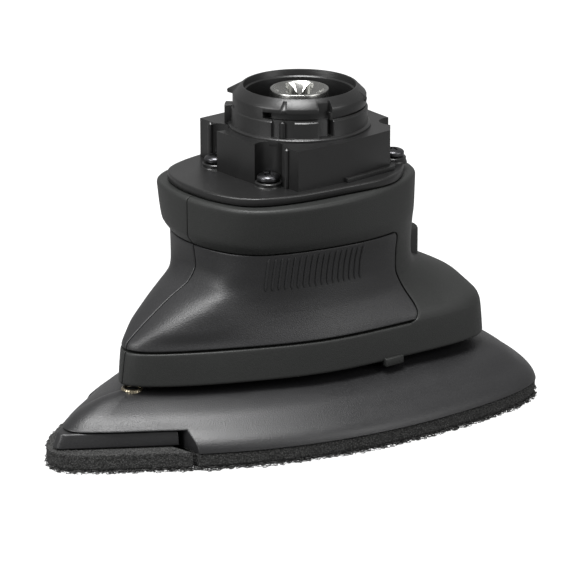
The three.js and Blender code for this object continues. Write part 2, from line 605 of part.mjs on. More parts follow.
// Counterweight hub with the eccentric pin that carries the platen's bearing.
const PIN_BOTTOM = PLATEN_BEARING_Z - 0.4;
const PIN_SCREW = { shank: 2, head: 5.4, rise: 2.4, length: 9 };
function counterweight() {
  const top = COUNTERWEIGHT_Z + COUNTERWEIGHT_THICK;
  const weight = sector(5, COUNTERWEIGHT_R, COUNTERWEIGHT_Z, top, 105, 255, 16);
  const hub = disc(7.4, COUNTERWEIGHT_Z - 1, LOWER_BEARING_Z - GAP);
  const collar = disc(8.2, PLATEN_BEARING_Z + LARGE_BEARING.width + GAP, COUNTERWEIGHT_Z, THROW);
  const pin = disc(LARGE_BEARING.inner - FIT, PIN_BOTTOM, COUNTERWEIGHT_Z - 0.5, THROW);
  return cut(
    join(weight, hub, collar, pin),
    disc(SHAFT_R, SPINDLE_BOTTOM - GAP, LOWER_BEARING_Z),
    disc(PIN_SCREW.shank + FIT, PIN_BOTTOM - 1, PIN_BOTTOM + PIN_SCREW.length, THROW),
  );
}
piece("eccentric_counterweight", counterweight(), FINISH.castMetal);

const WASHER_BOTTOM = PIN_BOTTOM - 1.4;
const washer = tubeRing(8, PIN_SCREW.shank + FIT, WASHER_BOTTOM, PIN_BOTTOM - GAP, THROW);
piece("platen_retaining_washer", washer, FINISH.steel);

// Cap screw that pulls the platen onto the crank pin, with a hexagonal key hole in its head.
function retainingScrew() {
  const seat = WASHER_BOTTOM - GAP;
  const headBottom = seat - PIN_SCREW.rise;
  const headR = PIN_SCREW.head - 0.6;
  const body = turned([
    [0, headBottom], [headR - 0.6, headBottom], [headR, headBottom + 0.6], [headR, seat],
    [PIN_SCREW.shank, seat], [PIN_SCREW.shank, seat + PIN_SCREW.length], [0, seat + PIN_SCREW.length],
  ], THROW);
  const key = new THREE.CylinderGeometry(2, 2, 2, 6);
  key.rotateX(Math.PI / 2).translate(THROW, 0, headBottom + 0.5);
  return cut(body, solidOf(key));
}
piece("platen_retaining_screw", retainingScrew(), FINISH.steel);

// ---------------------------------------------------------------- platen and pads
// Crown of the platen: height above its edge against distance in from the edge.
const CROWN = [
  [0, 0], [0.5, 1.2], [2, 2.8], [4.6, 4.6], [7.6, 6.8], [11.5, 8.6], [16, 10], [21, PLATEN_RISE],
];
const PLATEN_HUB_TOP = PLATEN_BEARING_Z + LARGE_BEARING.width + 2.4;
const PLATEN_POCKET_FLOOR = 11.2;
const PLATEN_ACCESS_R = 6; // hole under the retaining screw
const TIP_BLOCK_TOP = TIP_BLOCK_BOTTOM + TIP_BLOCK_HEIGHT;
const NOTCH_TOP = TIP_BLOCK_TOP + GAP;
const INSERT_R = 2.7;
const INSERT_PROUD = 0.5;
const SNAP_RING = {
  outer: LARGE_BEARING.outer + 0.6,
  inner: LARGE_BEARING.outer - 2.4,
  thick: 1.2,
  z: PLATEN_BEARING_Z + LARGE_BEARING.width + GAP,
};

function platen() {
  const edge = padRing(PLATEN_BOTTOM);
  const dome = loft(CROWN.map(([d, rise]) => shrink(edge, d, ...PAD_SPINE, PLATEN_BOTTOM + rise)));
  const socketTop = TIP_BLOCK_TOP + PEG.rise + GAP;
  const hub = disc(LARGE_BEARING.outer + HUB_WALL, PLATEN_BOTTOM + 1, PLATEN_HUB_TOP, THROW);
  return cut(
    join(dome, hub),
    disc(LARGE_BEARING.outer + FIT, PLATEN_BEARING_Z - GAP, PLATEN_HUB_TOP + 1, THROW),
    disc(LARGE_BEARING.outer - 2.6, PLATEN_POCKET_FLOOR, PLATEN_HUB_TOP, THROW),
    disc(SNAP_RING.outer + FIT, SNAP_RING.z - FIT, SNAP_RING.z + SNAP_RING.thick + FIT, THROW),
    disc(PLATEN_ACCESS_R, PLATEN_BOTTOM - 1, PLATEN_POCKET_FLOOR + 1, THROW),
    slab(-90, TIP_SPLIT_X + 0.9, -60, 60, PLATEN_BOTTOM - 1, NOTCH_TOP),
    disc(INSERT_R + FIT, NOTCH_TOP - 1, PLATEAU + 2, TIP_SCREW_X, 0, SMALL_ROUND),
    disc(SCREW_HEAD + GAP, PLATEN_BOTTOM - 1, TIP_BLOCK_BOTTOM + GAP, TIP_SCREW_X, 0, SMALL_ROUND),
    ...TIP_PEGS.map(([x, y]) => disc(PEG.radius + GAP, NOTCH_TOP - 1, socketTop, x, y, SMALL_ROUND)),
  );
}
piece("platen", platen(), FINISH.platen);

const snapGap = sector(
  SNAP_RING.inner - 3, SNAP_RING.outer + 3, SNAP_RING.z - 1, SNAP_RING.z + SNAP_RING.thick + 1, 165, 195, 2,
).translate([THROW, 0, 0]);
const snap = tubeRing(SNAP_RING.outer, SNAP_RING.inner, SNAP_RING.z, SNAP_RING.z + SNAP_RING.thick, THROW);
piece("platen_snap_ring", cut(snap, snapGap), FINISH.steel);

const INSERT_BORE_R = SCREW_SHANK + 2 * GAP;
const insert = tubeRing(
  INSERT_R, INSERT_BORE_R, NOTCH_TOP + GAP, PLATEAU + INSERT_PROUD, TIP_SCREW_X, 0, SMALL_ROUND,
);
piece("tip_insert", insert, FINISH.brass);

const padSolid = (z0, z1) => loft([padRing(z0), padRing(z1)]);
const mainZone = slab(TIP_SPLIT_X + 0.6, 90, -60, 60, -1, 30);
const tipZone = slab(-90, TIP_SPLIT_X, -60, 60, -1, 30);
const screwWell = disc(SCREW_HEAD + 2 * GAP, -1, 9, TIP_SCREW_X, 0, SMALL_ROUND);
const TIP_FOAM_TOP = TIP_BLOCK_BOTTOM - GAP;
const padPiece = (z0, z1, zone) => cut(padSolid(z0, z1).intersect(zone), screwWell);
piece("main_pad", padPiece(FOAM_BOTTOM, FOAM_TOP, mainZone), FINISH.foam);
piece("main_hook_sheet", padPiece(0, HOOK_THICK, mainZone), FINISH.hooks);
piece("tip_pad", padPiece(FOAM_BOTTOM, TIP_FOAM_TOP, tipZone), FINISH.foam);
piece("tip_hook_sheet", padPiece(0, HOOK_THICK, tipZone), FINISH.hooks);

// Tip block: a wedge under the platen's nose with two pegs that key into the platen.
function tipBlock() {
  const rear = TIP_SPLIT_X - 2 * GAP;
  const wedge = (z, tipX, half) => {
    const plan = [[tipX, 0], [tipX + 1.2, -1.1], [rear, -half], [rear, half], [tipX + 1.2, 1.1]];
    return plan.map(([x, y]) => new THREE.Vector3(x, y, z));
  };
  const body = loft([wedge(TIP_BLOCK_BOTTOM, -75.6, 17.4), wedge(TIP_BLOCK_TOP, -74.1, 16.8)]);
  const pegTop = TIP_BLOCK_TOP + PEG.rise;
  const pegs = TIP_PEGS.map(([x, y]) => disc(PEG.radius, TIP_BLOCK_TOP - 1, pegTop, x, y, SMALL_ROUND));
  return cut(
    join(body, ...pegs),
    disc(SCREW_SHANK + GAP, TIP_BLOCK_BOTTOM - 1, TIP_BLOCK_TOP + 1, TIP_SCREW_X, 0, SMALL_ROUND),
  );
}
piece("tip_block", tipBlock(), FINISH.platen);

const TIP_SCREW_LENGTH = PLATEAU - TIP_BLOCK_BOTTOM - 0.4;
const tipScrew = panScrew(SCREW_SHANK, TIP_SCREW_LENGTH, SCREW_HEAD)
  .rotate([180, 0, 0])
  .translate([TIP_SCREW_X, 0, TIP_BLOCK_BOTTOM - GAP]);
piece("tip_screw", tipScrew, FINISH.steel);

// Flexible supports that stand on the platen and steady it under the shells.
const LEG_SIZE = { length: 3.4, width: 2.6, foot: 2.8, gusset: 5 };
LEGS.forEach(([x, y], k) => {
  const [dx, dy] = [LEG_SIZE.length / 2, LEG_SIZE.width / 2];
  const base = PLATEAU + GAP;
  const post = slab(x - dx, x + dx, y - dy, y + dy, base, LEG_TOP);
  const side = [
    [x, base], [x + dx + LEG_SIZE.foot, base],
    [x + dx, base + LEG_SIZE.gusset], [x, base + LEG_SIZE.gusset],
  ];
  const gusset = prism(side, -dy, dy).rotate([90, 0, 0]).translate([0, y, 0]);
  piece(`support_leg_${k + 1}`, post.add(gusset), FINISH.rubber);
});

export default model;
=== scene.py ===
"""Detail-sander head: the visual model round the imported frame.

Every size here is in millimetres in the frame's own axes, and becomes metres when a mesh is made.
"""
import math

import bmesh
import bpy
import numpy as np
from mathutils import Matrix, Vector, noise

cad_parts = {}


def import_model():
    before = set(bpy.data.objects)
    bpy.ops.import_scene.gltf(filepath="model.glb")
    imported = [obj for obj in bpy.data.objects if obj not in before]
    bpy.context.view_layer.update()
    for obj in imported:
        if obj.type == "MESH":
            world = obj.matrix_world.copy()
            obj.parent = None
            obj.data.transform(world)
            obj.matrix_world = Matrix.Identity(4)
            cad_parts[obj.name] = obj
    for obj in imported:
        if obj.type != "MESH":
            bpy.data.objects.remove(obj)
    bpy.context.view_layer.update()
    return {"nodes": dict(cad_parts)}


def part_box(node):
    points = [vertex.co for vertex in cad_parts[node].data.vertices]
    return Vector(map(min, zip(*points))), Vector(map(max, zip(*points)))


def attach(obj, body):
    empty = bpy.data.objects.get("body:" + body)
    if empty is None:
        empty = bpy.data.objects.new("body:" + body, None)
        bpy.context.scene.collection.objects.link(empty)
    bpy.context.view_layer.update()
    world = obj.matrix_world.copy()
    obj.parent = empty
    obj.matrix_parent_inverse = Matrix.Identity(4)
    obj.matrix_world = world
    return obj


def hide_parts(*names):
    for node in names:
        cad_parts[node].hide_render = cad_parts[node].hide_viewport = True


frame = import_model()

MM = 0.001


def span(node):
    """Lowest and highest corner of a CAD node in millimetres."""
    low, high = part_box(node)
    return np.array(low) / MM, np.array(high) / MM


# ------------------------------------------------------------------ sizes read from the frame
SKIRT_BOTTOM = span("housing_right")[0][2]
SHELL_TOP = span("housing_right")[1][2]
SEAM_Y = (span("housing_left")[0][1] + span("housing_right")[1][1]) / 2
SEAM_HALF_GAP = 0.13
PLATEN_BOTTOM = span("platen")[0][2]
PLATEAU = span("support_leg_1")[0][2] - 0.3
FOAM_TOP = span("main_pad")[1][2]
FOAM_BOTTOM = span("main_pad")[0][2]
TIP_BLOCK_BOTTOM = span("tip_block")[0][2]
TIP_BLOCK_TOP = TIP_BLOCK_BOTTOM + 3.6
NOTCH_TOP = TIP_BLOCK_TOP + 0.3
TIP_SPLIT_X = span("tip_pad")[1][0]
FLANGE_BOTTOM = SHELL_TOP + 0.3
FLANGE_TOP = FLANGE_BOTTOM + 1.9
BLOCK_TOP = FLANGE_TOP + 10.1
COLLAR_TOP = span("adapter")[1][2]
SOCKET_TOP = span("drive_socket")[1][2]
THROW = (span("platen_bearing_outer_race")[0][0] + span("platen_bearing_outer_race")[1][0]) / 2
GROOVE_Z = 25.2
BAND_BOTTOM = 48.5


# ------------------------------------------------------------------ meshes
def linked(name, data):
    """Object of a mesh, light or camera, in the scene."""
    obj = bpy.data.objects.new(name, data)
    bpy.context.scene.collection.objects.link(obj)
    return obj


def new_object(name, verts, faces, smooth_angle=35):
    """Mesh object from points in millimetres, its faces turned outward and smooth under an angle."""
    mesh = bpy.data.meshes.new(name)
    points = [tuple(float(c) * MM for c in v) for v in verts]
    mesh.from_pydata(points, [], [list(map(int, f)) for f in faces])
    obj = linked(name, mesh)
    tidy(obj, smooth_angle)
    return obj


def tidy(obj, smooth_angle=35):
    """Merges doubled points, turns faces outward and marks edges over an angle as sharp."""
    work = bmesh.new()
    work.from_mesh(obj.data)
    bmesh.ops.remove_doubles(work, verts=work.verts, dist=2e-6)
    bmesh.ops.dissolve_degenerate(work, edges=work.edges, dist=1e-7)
    bmesh.ops.recalc_face_normals(work, faces=work.faces)
    for face in work.faces:
        face.smooth = True
    limit = math.radians(smooth_angle)
    for edge in work.edges:
        edge.smooth = len(edge.link_faces) == 2 and edge.calc_face_angle(0) < limit
    work.to_mesh(obj.data)
    work.free()


def applied(obj, smooth_angle=35):
    """Replaces the object's mesh with what its modifiers make of it."""
    bpy.context.view_layer.update()
    graph = bpy.context.evaluated_depsgraph_get()
    mesh = bpy.data.meshes.new_from_object(obj.evaluated_get(graph), depsgraph=graph)
    obj.modifiers.clear()
    obj.data = mesh
    tidy(obj, smooth_angle)
    return obj


def discard(obj):
    bpy.data.objects.remove(obj)


def boolean(obj, tools, operation="DIFFERENCE"):
    for tool in tools:
        step = obj.modifiers.new("cut", "BOOLEAN")
        step.solver = "MANIFOLD"
        step.operation = operation
        step.object = tool
    applied(obj)
    for tool in tools:
        discard(tool)
    return obj


def bevelled(obj, width, segments=3, angle=32, smooth_angle=42):
    step = obj.modifiers.new("bevel", "BEVEL")
    step.width = width * MM
    step.segments = segments
    step.limit_method = "ANGLE"
    step.angle_limit = math.radians(angle)
    step.use_clamp_overlap = True
    step.miter_outer = "MITER_ARC"
    return applied(obj, smooth_angle)


def joined(name, objects):
    """One object of several closed bodies."""
    first = objects[0]
    work = bmesh.new()
    for obj in objects:
        work.from_mesh(obj.data)
    mesh = bpy.data.meshes.new(name)
    work.to_mesh(mesh)
    work.free()
    first.data = mesh
    first.name = name
    for obj in objects[1:]:
        discard(obj)
    return first


def grid_faces(rows, columns, closed=False, offset=0):
    """Quads of a grid of points stored row by row."""
    faces = []
    last = columns if closed else columns - 1
    for r in range(rows - 1):
        for c in range(last):
            a = offset + r * columns + c
            b = offset + r * columns + (c + 1) % columns
            faces.append((a, b, b + columns, a + columns))
    return faces


def lathe(name, profile, sides=96, x=0.0, y=0.0, smooth_angle=30):
    """Body of revolution about Z through [radius, z] pairs; it starts and ends on the axis or closes."""
    closed = profile[0] == profile[-1]
    rows = profile[:-1] if closed else profile
    verts = []
    for radius, z in rows:
        for k in range(sides):
            turn = 2 * math.pi * k / sides
            verts.append((x + radius * math.cos(turn), y + radius * math.sin(turn), z))
    faces = grid_faces(len(rows), sides, closed=True)
    if closed:
        base = (len(rows) - 1) * sides
        faces += [(base + k, base + (k + 1) % sides, (k + 1) % sides, k) for k in range(sides)]
    return new_object(name, verts, faces, smooth_angle)


def prism(name, outline, z0, z1, smooth_angle=30):
    """Upright prism over a plan outline of [x, y] pairs."""
    count = len(outline)
    verts = [(x, y, z0) for x, y in outline] + [(x, y, z1) for x, y in outline]
    faces = [tuple(range(count)), tuple(range(count, 2 * count))]
    faces += [(k, (k + 1) % count, count + (k + 1) % count, count + k) for k in range(count)]
    return new_object(name, verts, faces, smooth_angle)


def slab(name, x0, x1, y0, y1, z0, z1):
    return prism(name, [(x0, y0), (x1, y0), (x1, y1), (x0, y1)], z0, z1)


def turned_to(obj, matrix):
    obj.data.transform(matrix)
    return obj


def turned(obj, degrees, axis="Z"):
    return turned_to(obj, Matrix.Rotation(math.radians(degrees), 4, axis))


def moved(obj, x, y, z):
    return turned_to(obj, Matrix.Translation((x * MM, y * MM, z * MM)))


def sector(name, inner, outer, z0, z1, start, end, steps=24):
    """Sector of a ring between two polar angles in degrees."""
    turns = [math.radians(start + (end - start) * k / steps) for k in range(steps + 1)]
    outline = [(outer * math.cos(t), outer * math.sin(t)) for t in turns]
    outline += [(inner * math.cos(t), inner * math.sin(t)) for t in reversed(turns)]
    return prism(name, outline, z0, z1)


# ------------------------------------------------------------------ outlines
def smooth_ring(half, per_step=24):
    """Closed outline through a half outline (front to rear, Y >= 0) and its mirror: a periodic cubic
    spline whose knots are spaced by the square root of each chord."""
    points = np.array([*half, *[(x, -y) for x, y in half[-2:0:-1]]], float)
    count = len(points)
    ahead = np.roll(points, -1, 0)
    step = np.sqrt(np.linalg.norm(ahead - points, axis=1))
    matrix = np.zeros((count, count))
    right = np.zeros((count, 2))
    for k in range(count):
        before, after = step[k - 1], step[k]
        matrix[k, k - 1] += before
        matrix[k, k] += 2 * (before + after)
        matrix[k, (k + 1) % count] += after
        right[k] = 6 * ((ahead[k] - points[k]) / after - (points[k] - points[k - 1]) / before)
    bend = np.linalg.solve(matrix, right)
    ring = []
    for k in range(count):
        h = step[k]
        s = (np.arange(per_step) / per_step * h)[:, None]
        r = h - s
        b0, b1 = bend[k], bend[(k + 1) % count]
        ring.append((b0 * r**3 + b1 * s**3) / (6 * h) + (points[k] / h - b0 * h / 6) * r
                    + (ahead[k] / h - b1 * h / 6) * s)
    return np.concatenate(ring)


def shrink(ring, distance, x0, x1):
    """Moves each point towards the middle line between x0 and x1 by a distance."""
    aim = np.stack([np.clip(ring[:, 0], x0, x1), np.zeros(len(ring))], 1) - ring
    return ring + aim / np.linalg.norm(aim, axis=1)[:, None] * np.reshape(distance, (-1, 1))


def bezier(p0, p1, p2, p3, steps=40):
    t = np.linspace(0, 1, steps + 1)[:, None]
    p0, p1, p2, p3 = map(np.array, (p0, p1, p2, p3))
    return (1 - t)**3 * p0 + 3 * (1 - t)**2 * t * p1 + 3 * (1 - t) * t**2 * p2 + t**3 * p3


def resample(line, count):
    """Evenly spaced points along a polyline, its ends included."""
    length = np.concatenate([[0], np.cumsum(np.linalg.norm(np.diff(line, axis=0), axis=1))])
    at = np.linspace(0, length[-1], count)
    return np.stack([np.interp(at, length, line[:, k]) for k in range(line.shape[1])], 1)


PAD_TIP_X = -76.8
PAD_HEEL_X = 59.2
PAD_HALF_WIDTH = 41.0
PAD_SPINE = (-50.5, 21.6)
CROWN_SHARE = 0.93  # of the way to the middle that the crown may take where the pad is narrow


def pad_half():
    """Half outline of the pad: nose, flank, shoulder and heel."""
    w = PAD_HALF_WIDTH
    return np.concatenate([
        bezier((PAD_TIP_X, 0), (PAD_TIP_X, 6.4), (-66, 12.2), (-54.9, 19.6)),
        bezier((-54.9, 19.6), (-38.4, 31.5), (-14.4, w), (15.6, w))[1:],
        bezier((15.6, w), (28.6, w), (42.6, w - 1), (48.6, w - 6))[1:],
        bezier((48.6, w - 6), (55.1, 29), (PAD_HEEL_X, 12), (PAD_HEEL_X, 0))[1:],
    ])


SHELL_SPINE = (-26.4, 15.6)
SHELL_SECTIONS = [
    (SKIRT_BOTTOM, [(-55.4, 0), (-53.6, 3.8), (-42.6, 12), (-27.9, 19.2), (-10.9, 25.2),
        (11.6, 27.8), (33.1, 28), (40.8, 22.8), (43.6, 0)]),
    (GROOVE_Z, [(-54.2, 0), (-52.8, 3.8), (-42, 11.6), (-27.4, 18.9), (-10.7, 25),
        (11.1, 27.4), (32.6, 27.4), (40.2, 22.4), (43.1, 0)]),
    (27.4, [(-53.6, 0), (-52.2, 3.6), (-41.4, 11), (-27, 18.3), (-10.4, 24.4),
        (11.1, 26.8), (32.2, 26.6), (39.6, 21.8), (42.5, 0)]),
    (30.5, [(-49.4, 0), (-48.5, 5), (-39.4, 12), (-26.4, 17.4), (-10.4, 23.2),
        (10.6, 25), (28.2, 22.8), (38.6, 15.6), (41, 0)]),
    (33.5, [(-44.9, 0), (-44.2, 5.4), (-37.6, 12), (-25.8, 16.8), (-10.4, 22.3),
        (10.1, 23.6), (24, 20), (33.6, 12), (35.6, 0)]),
    (36.5, [(-40, 0), (-39.5, 5.2), (-35.4, 11.4), (-25.4, 16.5), (-10.4, 21.8),
        (9.6, 23), (21, 18.4), (27.4, 10.6), (28.6, 0)]),
    (39.5, [(-34.6, 0), (-34.3, 4.6), (-32.6, 10.6), (-25.4, 16.6), (-10.4, 21.6),
        (9.1, 22.8), (20.2, 18.4), (25.8, 11), (27.2, 0)]),
    (43, [(-32.7, 0), (-32.6, 5), (-31.4, 11.4), (-25.4, 17.2), (-10.4, 22),
        (9.1, 23), (20, 18.6), (25.6, 11.4), (27, 0)]),
    (BAND_BOTTOM, [(-33.4, 0), (-33, 5.4), (-30.9, 12), (-26.2, 17.8), (-11.4, 23.2),
        (8.1, 24.4), (20.2, 19), (25.6, 12), (27, 0)]),
    (51.2, [(-35, 0), (-34.4, 6), (-32.2, 13.4), (-27.4, 19.4), (-12.4, 24.4),
        (7.1, 25), (20.4, 19.2), (25.8, 12.2), (27.2, 0)]),
    (SHELL_TOP, [(-35.1, 0), (-34.6, 6.4), (-32.6, 14.8), (-27.8, 20.8), (-13.9, 25.3),
        (3.6, 25), (20.4, 19.4), (26, 12.2), (27.6, 0)]),
]
CREASES = (2, 8)  # sections where the side turns at an edge
EDGE_SOFTNESS = 0.45  # half height over which such an edge is rounded

section_z = np.array([z for z, _ in SHELL_SECTIONS])
section_rings = np.array([smooth_ring(half) for _, half in SHELL_SECTIONS])


def section_slopes():
    """Slopes of the side at each section, below and above it, without overshoot between sections."""
    slope = np.diff(section_rings, axis=0) / np.diff(section_z)[:, None, None]
    below, above = np.zeros_like(section_rings), np.zeros_like(section_rings)
    below[1:], above[:-1] = slope, slope
    below[0], above[-1] = slope[0], slope[-1]
    for k in range(1, len(section_z) - 1):
        if k in CREASES:
            continue
        product = slope[k - 1] * slope[k]
        total = slope[k - 1] + slope[k]
        mean = np.where(product > 0, 2 * product / np.where(total == 0, 1, total), 0)
        below[k] = above[k] = mean
    return below, above


slope_below, slope_above = section_slopes()


def shell_ring_at(z):
    k = int(np.clip(np.searchsorted(section_z, z, side="right") - 1, 0, len(section_z) - 2))
    height = section_z[k + 1] - section_z[k]
    t = (z - section_z[k]) / height
    a, b = section_rings[k], section_rings[k + 1]
    ma, mb = slope_above[k] * height, slope_below[k + 1] * height
    return ((2 * t**3 - 3 * t**2 + 1) * a + (t**3 - 2 * t**2 + t) * ma
            + (3 * t**2 - 2 * t**3) * b + (t**3 - t**2) * mb)


def shell_ring(z):
    """The clamshell's outline at a height, with its edges slightly rounded."""
    low, high = section_z[0], section_z[-1]
    reach = min(EDGE_SOFTNESS, z - low, high - z)
    levels = z + np.linspace(-1, 1, 7) * max(reach, 0)
    return np.mean([shell_ring_at(level) for level in levels], axis=0)


def half_line(ring, side):
    """The stretch of a ring on one side of the parting plane, from the front round to the rear."""
    limit = SEAM_Y + side * SEAM_HALF_GAP
    inside = (ring[:, 1] - limit) * side > 0
    starts = np.flatnonzero(inside & ~np.roll(inside, 1))
    line = np.roll(ring, -starts[0], 0)[: inside.sum()]
    before, after = ring[starts[0] - 1], np.roll(ring, -starts[0], 0)[inside.sum() % len(ring)]

    def crossing(outer, inner):
        share = (limit - outer[1]) / (inner[1] - outer[1])
        return outer + share * (inner - outer)

    line = np.vstack([crossing(before, line[0]), line, crossing(after, line[-1])])
    return line if line[0, 0] < line[-1, 0] else line[::-1]


def along(line, distances):
    """Points at distances along a polyline."""
    length = np.concatenate([[0], np.cumsum(np.linalg.norm(np.diff(line, axis=0), axis=1))])
    return np.stack([np.interp(distances, length, line[:, k]) for k in range(2)], 1), length[-1]


def length_to_x(line, x):
    """Distance along a line, from its front, at which it passes a given X."""
    length = np.concatenate([[0], np.cumsum(np.linalg.norm(np.diff(line, axis=0), axis=1))])
    k = int(np.flatnonzero(line[:, 0] > x)[0])
    share = (x - line[k - 1, 0]) / (line[k, 0] - line[k - 1, 0])
    return length[k - 1] + share * (length[k] - length[k - 1])


# ------------------------------------------------------------------ clamshell with its grip recess
RECESS_DEPTH = 1.9
SHELL_THICK = 3.6
LIP = 0.35  # rounding along the recess
GRIP_CORNER = 2.6
GRIP_BOTTOM_CORNER = 3.6


def grip_rear(z):
    """X of the grip's rear edge at a height, with its corners rounded."""
    z = min(max(z, GROOVE_Z), BAND_BOTTOM)
    edge = float(np.interp(z, [GROOVE_Z, 29.5, 37.5, BAND_BOTTOM], [16.8, 16, 12.9, 12.7]))
    top = BAND_BOTTOM - GRIP_CORNER
    bottom = GROOVE_Z + GRIP_BOTTOM_CORNER
    if z > top:
        edge -= GRIP_CORNER - math.sqrt(max(GRIP_CORNER**2 - (z - top)**2, 0))
    if z < bottom:
        edge -= GRIP_BOTTOM_CORNER - math.sqrt(max(GRIP_BOTTOM_CORNER**2 - (bottom - z)**2, 0))
    return edge


def lip_inset(distance, radius):
    """How far a rounded lip has turned in at a distance outside its edge."""
    distance = np.clip(distance, 0, radius)
    return radius - np.sqrt(np.maximum(radius**2 - (radius - distance)**2, 0))


def dense(start, end, step, edge_step=0.0, edge=0.0):
    """Even steps from start to end, with finer ones within an edge distance of both."""
    inner = np.linspace(start + edge, end - edge, max(2, int(round((end - start - 2 * edge) / step)) + 1))
    if not edge:
        return inner
    fine = np.arange(0, edge - 1e-6, edge_step)
    return np.concatenate([start + fine, inner, end - fine[::-1]])


LIP_STEPS = np.array([0.0, 0.03, 0.09, 0.18, 0.35])
BOTTOM_LIP = 0.5
RIM_R = 1.1


def shell_rows():
    """Heights of the rows with, for each, its distance outside the recess (negative inside)."""
    rows = [(SKIRT_BOTTOM + d, None) for d in (0, 0.06, 0.2, 0.5)]
    rows += [(z, None) for z in dense(SKIRT_BOTTOM + 0.9, GROOVE_Z - 0.8, 0.9)]
    rows += [(GROOVE_Z - d, d) for d in LIP_STEPS[:0:-1]]
    rows += [(GROOVE_Z, 0.0), (GROOVE_Z + 0.01, -1)]
    rows += [(z, -1) for z in dense(GROOVE_Z + 0.5, BAND_BOTTOM - 0.5, 0.62)]
    rows += [(BAND_BOTTOM - 0.01, -1), (BAND_BOTTOM, 0.0)]
    rows += [(BAND_BOTTOM + d, d) for d in LIP_STEPS[1:]]
    rows += [(z, None) for z in dense(BAND_BOTTOM + 0.8, SHELL_TOP - RIM_R, 0.75)]
    rows += [(SHELL_TOP - RIM_R * (1 - math.sin(math.radians(a))), None) for a in (20, 40, 60, 75, 90)]
    return rows


def housing_half(side):
    rows = shell_rows()
    front = np.array([0.0, 0.02, 0.08, 0.2])
    outer, inner = [], []
    for z, beside in rows:
        line = half_line(shell_ring(z), side)
        rear_at = length_to_x(line, grip_rear(z))
        total = along(line, [0])[1]
        left = np.concatenate([front, np.linspace(0.5, rear_at - 1.2, 70)])
        near = rear_at + np.array([-0.6, -0.01, 0.0, *LIP_STEPS[1:]])
        right = np.concatenate([np.linspace(rear_at + 0.9, total - 0.5, 46), total - front[::-1]])
        at = np.concatenate([left, near, right])
        points, _ = along(line, at)
        gap = at - rear_at
        inset = np.zeros(len(at))
        if beside is not None and beside < 0:
            inset = np.where(gap < -0.005, RECESS_DEPTH, lip_inset(np.maximum(gap, 0), LIP))
        elif beside is not None:
            reach = np.hypot(beside, np.maximum(gap, 0))
            inset = lip_inset(reach, LIP)
        from_seam = np.minimum(at, total - at)
        inset = inset + lip_inset(from_seam, 0.2)
        above_bottom = z - SKIRT_BOTTOM
        if above_bottom < BOTTOM_LIP:
            inset = inset + lip_inset(above_bottom, BOTTOM_LIP)
        below_top = SHELL_TOP - z
        if below_top < RIM_R:
            inset = inset + lip_inset(below_top, RIM_R)
        ring = shrink(points, inset, *SHELL_SPINE)
        outer.append(np.column_stack([ring, np.full(len(ring), z)]))
        deep = shrink(points, SHELL_THICK, *SHELL_SPINE)
        inner.append(np.column_stack([deep, np.full(len(ring), min(z, SHELL_TOP - 1.6))]))
    # the top land, inward under the adapter's flange
    for inset in (2.2, 5.0, 8.0):
        ring = shrink(points, inset, *SHELL_SPINE)
        outer.append(np.column_stack([ring, np.full(len(ring), SHELL_TOP)]))
        deep = shrink(points, max(SHELL_THICK, inset), *SHELL_SPINE)
        inner.append(np.column_stack([deep, np.full(len(ring), SHELL_TOP - 1.6)]))
    return thick_sheet("housing", np.array(outer), np.array(inner))


def thick_sheet(name, outer, inner, smooth_angle=35):
    """Closed body between two grids of points of the same shape."""
    rows, columns = outer.shape[:2]
    count = rows * columns
    faces = grid_faces(rows, columns)
    faces += [tuple(count + k for k in reversed(face)) for face in grid_faces(rows, columns)]
    edge = [*range(columns), *[r * columns + columns - 1 for r in range(1, rows)],
            *[(rows - 1) * columns + c for c in range(columns - 2, -1, -1)],
            *[r * columns for r in range(rows - 2, 0, -1)]]
    for a, b in zip(edge, edge[1:] + edge[:1]):
        faces.append((b, a, count + a, count + b))
    verts = np.concatenate([outer.reshape(-1, 3), inner.reshape(-1, 3)])
    return new_object(name, verts, faces, smooth_angle)


GRIP_GAP = 0.32
GRIP_FOOT_GAP = 0.6
PANEL_EDGE = 0.3


def grip_panel(side):
    low, high = GROOVE_Z + GRIP_FOOT_GAP, BAND_BOTTOM - GRIP_GAP
    fine = np.array([0.0, 0.03, 0.1, 0.2, 0.32])
    heights = np.concatenate([low + fine, dense(low + 0.7, high - 0.7, 0.55), high - fine[::-1]])
    outer, inner = [], []
    for z in heights:
        line = half_line(shell_ring(z), side)
        end = length_to_x(line, grip_rear(z)) - GRIP_GAP
        at = np.concatenate([fine, np.linspace(0.7, end - 0.7, 110), end - fine[::-1]])
        points, _ = along(line, at)
        beside = np.minimum(np.minimum(at, end - at), min(z - low, high - z))
        inset = lip_inset(beside, PANEL_EDGE) + 0.04
        ring = shrink(points, inset, *SHELL_SPINE)
        deep = shrink(points, RECESS_DEPTH - 0.25, *SHELL_SPINE)
        outer.append(np.column_stack([ring, np.full(len(ring), z)]))
        inner.append(np.column_stack([deep, np.full(len(ring), z)]))
    return thick_sheet("grip", np.array(outer), np.array(inner))


# ------------------------------------------------------------------ stage, camera and light
CAMERA_AZIMUTH = -39.0
CAMERA_ELEVATION = 17.83
CAMERA_DISTANCE = 900.0
CAMERA_TARGET = (1.6, 2.0, 40.0)
CAMERA_LENS = 225.0
CAMERA_SHIFT = (-0.0198, -0.0713)


def direction_to(azimuth, elevation):
    """Unit vector towards an azimuth, counted from -Y towards +X, and an elevation in degrees."""
    a, e = math.radians(azimuth), math.radians(elevation)
    return Vector((math.sin(a) * math.cos(e), -math.cos(a) * math.cos(e), math.sin(e)))


